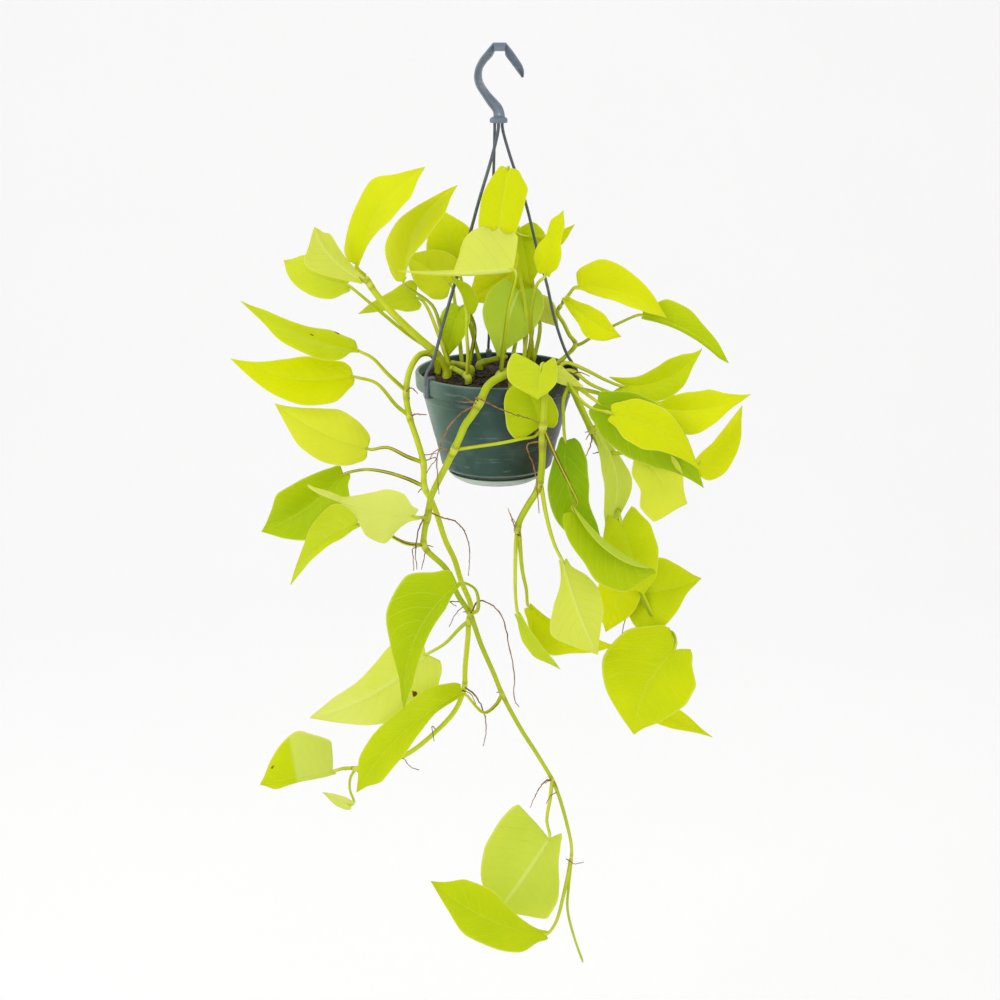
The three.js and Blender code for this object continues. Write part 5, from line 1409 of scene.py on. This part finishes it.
# %% [markdown]
# The pot was moulded in one piece: a tapered wall, a rolled band under the lip, two faint steps in the
# wall where the mould changes, and four drain holes in the floor. The holes could be dark discs, but
# the pot is seen from below too, so they are cut out of the wall that the profile gives.

# %% Pot
RIM_Z = -289
RIM_RADIUS = 75
BAND_Z = RIM_Z - 15  # lower edge of the rolled band
SHOULDER = 68
POT_BOTTOM = -379
FOOT = 51
WALL = 1.8
STEP_Z = -352  # height of the lower step in the wall
PEG_CIRCLE = 26
PEG_RADIUS = 3
PEG_ROOM = 0.3  # between a peg and the side of its hole
PEG_SIDES = 28
POT_EASE = 0.8


def fastenings(profile):
    """The shape of a peg, or of the hole for one, at each of the four places where they are."""
    corners, faces = turned_shape(profile, PEG_SIDES)
    return [(np.array(corners) + on_circle(PEG_CIRCLE, 45 + 90 * k, 0), faces) for k in range(4)]


def drain_holes():
    low, high, reach = POT_BOTTOM - 1, POT_BOTTOM + WALL + 1, PEG_RADIUS + PEG_ROOM
    holes = Heap()
    for corners, faces in fastenings([(0, low), (reach, low), (reach, high), (0, high)]):
        holes.add(corners, faces)
    return holes


def wall_radius(z):
    """Outside of the wall at a height below the band."""
    low, high = POT_BOTTOM + 2, BAND_Z - 7
    return FOOT + (SHOULDER - 1.2 - FOOT) * (z - low) / (high - low)


pot_profile = [
    (0, POT_BOTTOM), (FOOT - 4, POT_BOTTOM), (FOOT - 3, POT_BOTTOM + 0.6), (FOOT - 1.5, POT_BOTTOM),
    (FOOT, POT_BOTTOM + 2), (wall_radius(STEP_Z) - 0.1, STEP_Z), (wall_radius(STEP_Z) + 0.5, STEP_Z + 1),
    (SHOULDER - 1.0, BAND_Z - 10), (SHOULDER - 0.2, BAND_Z - 9), (SHOULDER, BAND_Z - 1),
    (RIM_RADIUS - 1.2, BAND_Z - 0.2), (RIM_RADIUS - 0.6, BAND_Z + 1), (RIM_RADIUS, RIM_Z - 2),
    (RIM_RADIUS - 1, RIM_Z - 0.4), (RIM_RADIUS - 2.2, RIM_Z), (RIM_RADIUS - 3.2, RIM_Z - 0.4),
    (RIM_RADIUS - 3.6, RIM_Z - 1.6), (RIM_RADIUS - 4.4, BAND_Z + 1), (SHOULDER - WALL, BAND_Z - 3),
    (FOOT - WALL + 0.4, POT_BOTTOM + WALL + 2), (FOOT - WALL - 2, POT_BOTTOM + WALL),
    (0, POT_BOTTOM + WALL),
]


def worn_and_highlit_at(corners):
    """How rubbed each corner is, together with a painted highlight: most on the lip and at the foot's edge.
    """
    heights = np.array(corners)[:, 2]
    radii = np.hypot(np.array(corners)[:, 0], np.array(corners)[:, 1])
    lip = np.clip((heights - (RIM_Z - 1.4)) / 1.2, 0, 1)
    foot = np.clip(1 - abs(heights - (POT_BOTTOM + 0.8)) / 1.3, 0, 1) * (radii > FOOT - 2)
    return np.maximum(lip, 0.7 * foot)


pot_corners, pot_faces = turned_shape(eased(pot_profile, POT_EASE))
pot_wall = make_mesh("pot_wall", pot_corners, pot_faces, {"worn_and_highlit": worn_and_highlit_at(pot_corners)})
pot_mesh = cut_away(pot_wall, drain_holes())
place_piece("pot_wall", sharp_edges(pot_mesh), POT_FINISH, "pot_plastic", ["pot"])
print("pot_wall", len(pot_mesh.polygons), "faces")

# %% [markdown]
# The saucer is a paler, milky plastic. Four pegs in it snap into the pot's drain holes. The cup is
# turned from its profile like the pot. The pegs could be melted into it, but here they stay closed
# shapes that start inside its floor, which looks the same and keeps both clean.

# %% Saucer
SAUCER_TOP = POT_BOTTOM - 0.3
SAUCER_BOTTOM = POT_BOTTOM - 12
SAUCER_RADIUS = 45
SAUCER_BASE = 36
SAUCER_NECK = 4  # height of the narrow step under the pot
NECK_Z = SAUCER_TOP - SAUCER_NECK
saucer_profile = [
    (0, SAUCER_BOTTOM + 0.5), (SAUCER_BASE - 5, SAUCER_BOTTOM + 0.5), (SAUCER_BASE - 4, SAUCER_BOTTOM),
    (SAUCER_BASE, SAUCER_BOTTOM), (SAUCER_RADIUS - 3, SAUCER_BOTTOM + 3.5), (SAUCER_RADIUS, NECK_Z - 0.8),
    (SAUCER_RADIUS - 0.4, NECK_Z), (SAUCER_RADIUS - 2.6, NECK_Z + 0.4), (SAUCER_RADIUS - 2.6, SAUCER_TOP),
    (SAUCER_RADIUS - 3.8, SAUCER_TOP), (SAUCER_RADIUS - 5, SAUCER_BOTTOM + 4.6),
    (SAUCER_BASE - 0.6, SAUCER_BOTTOM + 1.6), (0, SAUCER_BOTTOM + 1.6),
]


def soiled_at(corners):
    """Painted shade lies in the step under the pot, where the pot's foot shades it, and along the saucer's
    bottom edge.
    """
    heights = np.array(corners)[:, 2]
    return np.where(heights > NECK_Z - 0.2, 1.0, np.clip(SAUCER_BOTTOM + 1.2 - heights, 0, 0.8))


saucer_heap = Heap()
cup_corners, cup_faces = turned_shape(eased(saucer_profile, 0.7))
saucer_heap.add(cup_corners, cup_faces, soiled=soiled_at(cup_corners))
peg_low, peg_high = SAUCER_BOTTOM + 1, POT_BOTTOM + WALL + 0.6
peg_profile = [(0, peg_low), (PEG_RADIUS, peg_low), (PEG_RADIUS, peg_high), (0, peg_high)]
# The pegs are darkened all over by the same mark.
for corners, faces in fastenings(eased(peg_profile, 0.5)):
    saucer_heap.add(corners, faces, soiled=np.ones(len(corners)))
saucer_mesh = sharp_edges(saucer_heap.mesh("saucer_cup"))
place_piece("saucer_cup", saucer_mesh, SAUCER_FINISH, "saucer_plastic", ["saucer"])

# %% [markdown]
# Hanging pots are filled with peat and fine bark. A bump pattern alone would look painted from the side,
# and a scattered chip of one shape would repeat. So the peat is a lumpy bed, and the bark is many small
# flat chips, each a little hull of its own that lies at a chance angle and half sunk. The bed stands
# for the frame's soil. The chips only lie on it.

# %% Soil
SOIL_BUMP_HEIGHT = 0.0006


def make_soil_finish(name, dark, light):
    finish, n, shader = new_finish(name)
    cloud = n.noise(90, 4)
    body = n.blend(n.ramp(cloud, 0.35, 0.7), dark, light)
    body = n.blend(n.ramp(n.noise(700, 2), 0.62, 0.72), body, colour(120, 84, 56))
    n.wire(shader, Base_Color=body, Roughness=n.ramp(cloud, 0.2, 0.8, 0.8, 0.95),
           Normal=n.bump(n.noise(1200, 3), 0.8, SOIL_BUMP_HEIGHT))
    return finish


PEAT_FINISH = make_soil_finish("peat", colour(12, 8, 5), colour(34, 22, 15))
BARK_FINISH = make_soil_finish("bark", colour(30, 19, 13), colour(84, 58, 38))
SOIL_RADIUS = 70.2
SOIL_RINGS = 34
SOIL_SIDES = 96
CHIPS = 620
CHIP_CIRCLE = 67
CHIP_SIZES = (1.5, 4.2)
CHIP_CORNERS = 14


def soil_height(x, y):
    lumps = 0.9 * math.sin(0.13 * x + 0.6) * math.cos(0.11 * y) + 0.7 * math.sin(0.21 * y - 0.07 * x)
    fine = 0.5 * math.sin(0.9 * x + 0.4 * y) * math.sin(0.8 * y - 0.3 * x)
    return SOIL_Z + lumps + fine


def make_peat():
    profile = [(0, POT_BOTTOM + 4.2), (FOOT - 2.2, POT_BOTTOM + 5.2), (SHOULDER - 2.2, BAND_Z - 3),
               (SOIL_RADIUS, BAND_Z + 1.5)]
    profile += [(SOIL_RADIUS * (1 - k / SOIL_RINGS), SOIL_Z) for k in range(SOIL_RINGS)]
    profile += [(0, SOIL_Z)]
    corners, faces = turned_shape(profile, SOIL_SIDES)
    corners = [(x, y, soil_height(x, y) if z > SOIL_Z - 0.01 else z) for x, y, z in corners]
    print("peat_bed", len(faces), "faces")
    return make_mesh("peat_bed", corners, faces)


def add_chip(heap, chance, x, y, size):
    mesh = bmesh.new()
    flat = chance.uniform(0.25, 0.5)
    for _ in range(CHIP_CORNERS):
        spot = unit(np.array([chance.gauss(0, 1) for _ in range(3)]))
        mesh.verts.new(spot * size * np.array([1, chance.uniform(0.5, 0.8), flat]))
    bmesh.ops.convex_hull(mesh, input=mesh.verts)
    loose = [v for v in mesh.verts if not v.link_faces]
    bmesh.ops.delete(mesh, geom=loose, context="VERTS")
    mesh.verts.index_update()
    points = np.array([v.co for v in mesh.verts])
    for axis, most in ((2, math.pi), (0, 0.5), (1, 0.5)):
        axle = np.zeros(3)
        axle[axis] = 1
        points = turned(points, axle, chance.uniform(-most, most))
    faces = [[v.index for v in face.verts] for face in mesh.faces]
    mesh.free()
    lift = chance.uniform(-0.2, 0.5) * size * flat
    heap.add(points + np.array([x, y, soil_height(x, y) + lift]), faces)


place_piece("peat_bed", make_peat(), PEAT_FINISH, "soil", ["soil"])
bark = Heap()
bark_chance = random.Random("bark")
for _ in range(CHIPS):
    far = CHIP_CIRCLE * math.sqrt(bark_chance.random())
    turn = bark_chance.uniform(0, 2 * math.pi)
    size = bark_chance.uniform(*CHIP_SIZES)
    add_chip(bark, bark_chance, far * math.cos(turn), far * math.sin(turn), size)
place_piece("bark_chips", bark.mesh("bark_chips", smooth=False), BARK_FINISH, "soil")

# %% [markdown]
# The hanger is one moulding in life: a hook of I section, a round flange and three thin strands that
# clip over the pot's lip. A section swept along a line would give the hook one width all along, but it
# is wider at its foot and tapers to its tip. So its outer and inner edges are listed in pairs from its
# tip to its foot. Between them the web is sunk on both faces, except at the flat crown and above the
# flange. A bevel then rounds the edges.

# %% Hook
HOOK_EDGES = [
    [[23.8, -23], [22.4, -23.4]], [[24.4, -18.6], [20.6, -21]], [[22.8, -13], [17, -16.2]],
    [[18.3, -6], [12.7, -10.4]], [[13.6, 0.6], [7.9, -3.9]], [[8.3, 7.1], [7.2, 0]],
    [[-3.2, 7.1], [-1.4, 0]], [[-9.4, -0.4], [-3.9, -4.6]], [[-14.7, -6.9], [-8.4, -9.4]],
    [[-18.7, -14.8], [-12.2, -15.4]], [[-20, -22.7], [-13, -21.5]], [[-18.3, -30.6], [-11.8, -27.6]],
    [[-12.9, -39.4], [-7, -35.2]], [[-7.6, -47.3], [-0.8, -42.2]], [[-3.2, -53.4], [4.8, -48.8]],
    [[-2.8, -57.5], [7.2, -56]], [[-2.8, -60], [7.4, -60]],
]
CROWN = 5  # the pair of edges where the flat crown begins
FILLED_FOOT = 13.4  # place in the list from which the web fills out to the foot
HALF_DEPTH = 3.4
FILLED_HALF_DEPTH = 3.1
WEB_HALF_DEPTH = 0.8
EDGE_WIDTH = 1.3
EDGE_SHARE = 0.3  # of the hook's width, where that is less
EDGE_STEPS = 8
HOOK_BEVEL = 0.3


def hook_rows():
    """Pairs of edge points along the hook, each with half the depth of its web."""
    rows = []
    for first, last in ((0, CROWN), (CROWN, CROWN + 1), (CROWN + 1, len(HOOK_EDGES) - 1)):
        part = HOOK_EDGES[first:last + 1]
        outer = smooth_line([[x, 0, z] for (x, z), _ in part], EDGE_STEPS)[0]
        inner, places = smooth_line([[x, 0, z] for _, (x, z) in part], EDGE_STEPS)
        for place, a, b in zip(places + first, outer, inner):
            if first == CROWN:
                web = FILLED_HALF_DEPTH
            else:
                fill = min(1, max(0, place - FILLED_FOOT))
                web = WEB_HALF_DEPTH + (FILLED_HALF_DEPTH - WEB_HALF_DEPTH) * fill
            rows.append((a, b, web))
    return rows


def make_hook():
    corners, faces = [], []
    rows = hook_rows()
    for outer, inner, web in rows:
        width = np.linalg.norm(inner - outer)
        edge = min(EDGE_WIDTH, EDGE_SHARE * width) / width
        half = [(0, HALF_DEPTH), (edge, HALF_DEPTH), (edge, web)]
        half += [(1 - share, depth) for share, depth in reversed(half)]
        half += [(share, -depth) for share, depth in reversed(half)]
        corners.extend(outer + (inner - outer) * share + np.array([0, depth, 0]) for share, depth in half)
    size = len(corners) // len(rows)
    for i in range(len(rows) - 1):
        for k in range(size):
            j = (k + 1) % size
            faces.append([i * size + k, (i + 1) * size + k, (i + 1) * size + j, i * size + j])
    faces.append(list(range(size)))
    faces.append([(len(rows) - 1) * size + k for k in reversed(range(size))])
    return corners, faces


hook_bar = rounded("hook_bar", *make_hook(), HOOK_BEVEL)

# %% [markdown]
# The moulding has a shallow round dimple on the front of the hook's foot. Its pale look, a painted
# highlight, is in the finish already, and a small bowl cut out of the foot gives it its shadow.

# %% Dimple on the hook's foot
DIMPLE_X = 2.2
DIMPLE_Z = -55.2
DIMPLE_RADIUS = 1.1
dimple_profile = [
    (0, -DIMPLE_RADIUS * 0.5), (DIMPLE_RADIUS * 0.9, -DIMPLE_RADIUS * 0.3), (DIMPLE_RADIUS, DIMPLE_RADIUS),
    (0, DIMPLE_RADIUS),
]
corners, faces = turned_shape(dimple_profile, 20)
upright = np.array(corners)[:, [0, 2, 1]] * (1, -1, 1)
dimple = Heap()
dimple.add(upright + np.array([DIMPLE_X, -FILLED_HALF_DEPTH, DIMPLE_Z]), faces)
hook_mesh = sharp_edges(cut_away(hook_bar, dimple))
place_piece("hook_bar", hook_mesh, HOOK_FINISH, "hanger_plastic", ["hanger_hook"])

# %% [markdown]
# The hook ends in a round flange with a sloping shoulder. Beneath it the three strands begin. It is
# turned from its profile like the pot, and set beside the pot's axis, where the hook's foot is.

# %% Flange
FLANGE_TOP = -58
FLANGE_BOTTOM = -63
FLANGE_RADIUS = 8
FLANGE_X = 1.8
flange_profile = [
    (0, FLANGE_BOTTOM), (FLANGE_RADIUS, FLANGE_BOTTOM), (FLANGE_RADIUS, FLANGE_TOP - 2),
    (FLANGE_RADIUS - 0.6, FLANGE_TOP - 1.2), (FLANGE_RADIUS - 2.6, FLANGE_TOP), (0, FLANGE_TOP),
]
flange = Heap()
corners, faces = turned_shape(eased(flange_profile, 0.6), 64)
flange.add(np.array(corners) + np.array([FLANGE_X, 0, 0]), faces)
flange_mesh = sharp_edges(flange.mesh("hook_flange"))
place_piece("hook_flange", flange_mesh, HOOK_FINISH, "hanger_plastic", ["hanger_hook"])

# %% [markdown]
# A strand is a thin rod, slightly bowed outward, that leaves the flange beside its axis and twists a part
# of a turn on its way down. A strap at its foot folds over the lip and grips under the band. A straight
# rod would be simpler, but the strands are soft, and the right one hangs slacker than the others. The
# rod is swept along a line, and the strap is its side outline given a width.

# %% Strands and clips
STRAND_AZIMUTH = {"left": 214, "right": 344, "back": 96}
STRAND_CIRCLE = 4.2
STRAND_TWIST = 52
STRAND_RADIUS = 1.4
STRAND_OUT = 2.4  # the rod's centre line outside the lip
STRAND_STEPS = 8
CLIP_WIDTH = 5
CLIP_BEVEL = 0.35
# How far out a strand is, as a share of the way from the flange to the lip, at heights on its way down
STRAND_START = [[0, FLANGE_BOTTOM + 2.7], [0, FLANGE_BOTTOM - 5]]
PLAIN_LINE = [*STRAND_START, [0.08, -91], [0.26, -130], [0.38, -158], [0.61, -207], [0.76, -240],
              [0.9, -273], [0.99, -284], [1, RIM_Z - 5]]
SLACK_LINE = [*STRAND_START, [0.09, -91], [0.3, -134], [0.46, -178], [0.58, -207], [0.69, -240],
              [0.85, -271], [0.97, -284], [1, RIM_Z - 5]]
STRAND_LINES = {"left": PLAIN_LINE, "right": SLACK_LINE, "back": PLAIN_LINE}


def rod_section(angles, count):
    """A square with rounded sides."""
    shape = (np.abs(np.cos(angles)) ** 4 + np.abs(np.sin(angles)) ** 4) ** -0.25
    return np.tile(0.9 * shape, (count, 1))


def strap_profile():
    """The strap from the side: how far from the axis and how high each corner is."""
    low = BAND_Z - 0.3
    top = RIM_Z + 2.2
    inside = RIM_RADIUS - 6.6
    outside = RIM_RADIUS + 0.3
    grip = SHOULDER + 2.5
    return [(inside, RIM_Z - 6), (inside + 1.6, RIM_Z - 6), (inside + 2.2, RIM_Z + 0.3),
            (outside, RIM_Z + 0.3), (outside, low - 0.3), (grip, low - 0.9), (grip, low - 2.1),
            (outside + 1.8, low - 2.1), (outside + 1.8, RIM_Z + 0.8), (outside + 0.4, top), (inside, top)]


def make_rod(side, azimuth):
    hole = on_circle(STRAND_CIRCLE, azimuth + STRAND_TWIST, 0) + np.array([FLANGE_X, 0, 0])
    foot = on_circle(RIM_RADIUS + STRAND_OUT, azimuth, 0)
    points = [hole + (foot - hole) * share + np.array([0, 0, z]) for share, z in STRAND_LINES[side]]
    path = smooth_line(points, STRAND_STEPS)[0]
    radii = np.full(len(path), STRAND_RADIUS)
    rod = Heap()
    rod.add(*swept(path, on_circle(1, azimuth, 0.2), radii, rod_section)[:2])
    return rod.mesh("strand_" + side)


def make_clip(side, azimuth):
    outline = strap_profile()
    sideways = on_circle(CLIP_WIDTH / 2, azimuth + 90, 0)
    corners = [on_circle(r, azimuth, z) + sideways * way for way in (-1, 1) for r, z in outline]
    count = len(outline)
    faces = [list(range(count)), list(range(count, 2 * count))[::-1]]
    faces += [[k, k + count, (k + 1) % count + count, (k + 1) % count] for k in range(count)]
    return rounded("clip_" + side, corners, faces, CLIP_BEVEL)


for side, azimuth in STRAND_AZIMUTH.items():
    for name, mesh in (("strand_", make_rod(side, azimuth)), ("clip_", make_clip(side, azimuth))):
        place_piece(name + side, mesh, HANGER_FINISH, "hanger_plastic", ["hanger_strand_" + side])

# %% [markdown]
# A plain pale sweep stands behind and below. A floor and a wall would meet in a line, so the sweep
# bends from one into the other. It is far enough away that the plant's shadow falls out of sight.

# %% Sweep
FLOOR_Z = -1150
SWEEP_CURVE = 1400  # radius of the bend from floor to wall
SWEEP_BACK = 1800  # where the bend begins
SWEEP_HALF_WIDTH = 6000
SWEEP_FRONT = -4000
SWEEP_TOP = 4500


def make_sweep():
    across = np.linspace(-SWEEP_HALF_WIDTH, SWEEP_HALF_WIDTH, 9)
    depth = [(SWEEP_FRONT, FLOOR_Z), (SWEEP_BACK, FLOOR_Z)]
    depth += [(SWEEP_BACK + SWEEP_CURVE * math.sin(a), FLOOR_Z + SWEEP_CURVE * (1 - math.cos(a)))
              for a in np.linspace(0.1, math.pi / 2, 14)]
    depth += [(SWEEP_BACK + SWEEP_CURVE, SWEEP_TOP)]
    corners = [(x, y, z) for y, z in depth for x in across]
    width = len(across)
    faces = [[i * width + k, i * width + k + 1, (i + 1) * width + k + 1, (i + 1) * width + k]
             for i in range(len(depth) - 1) for k in range(width - 1)]
    finish, n, shader = new_finish("pale_paper")
    paper = n.blend(n.noise(3, 2), colour(253, 253, 253), colour(255, 255, 255))
    n.wire(shader, Base_Color=paper, Roughness=0.9)
    place_piece("sweep", make_mesh("sweep", corners, faces), finish)
    print("sweep", len(faces), "faces")


make_sweep()

# %% [markdown]
# The photograph has the even light of a studio, a little stronger from the upper left. One lamp would
# do for the shading, but its shadows would be hard. Three large soft lights, from the upper left, the
# right and above, and a pale surrounding fill the shadows between the leaves.

# %% Lights
LIGHT_TARGET = (0, 0, -0.45)
SURROUNDING = 0.83


def soft_light(name, place, size, power):
    data = bpy.data.lights.new(name, "AREA")
    data.shape = "DISK"
    data.size = size
    data.energy = power
    light = bpy.data.objects.new(name, data)
    light.location = place
    way = Vector(LIGHT_TARGET) - Vector(place)
    light.rotation_euler = way.to_track_quat("-Z", "Y").to_euler()
    bpy.context.collection.objects.link(light)
    print(name, power, "watts, size", size)


soft_light("key_light", (-2.0, -1.5, 1.2), 1.4, 17)
soft_light("fill_light", (2.2, -1.6, 0.3), 1.8, 5)
soft_light("top_light", (0.2, 0.4, 2.0), 1.6, 8)
world = bpy.data.worlds.new("studio")
world.use_nodes = True
background = world.node_tree.nodes["Background"]
background.inputs["Color"].default_value = (1, 1, 1, 1)
background.inputs["Strength"].default_value = SURROUNDING
bpy.context.scene.world = world
bpy.context.scene.view_settings.view_transform = "Standard"
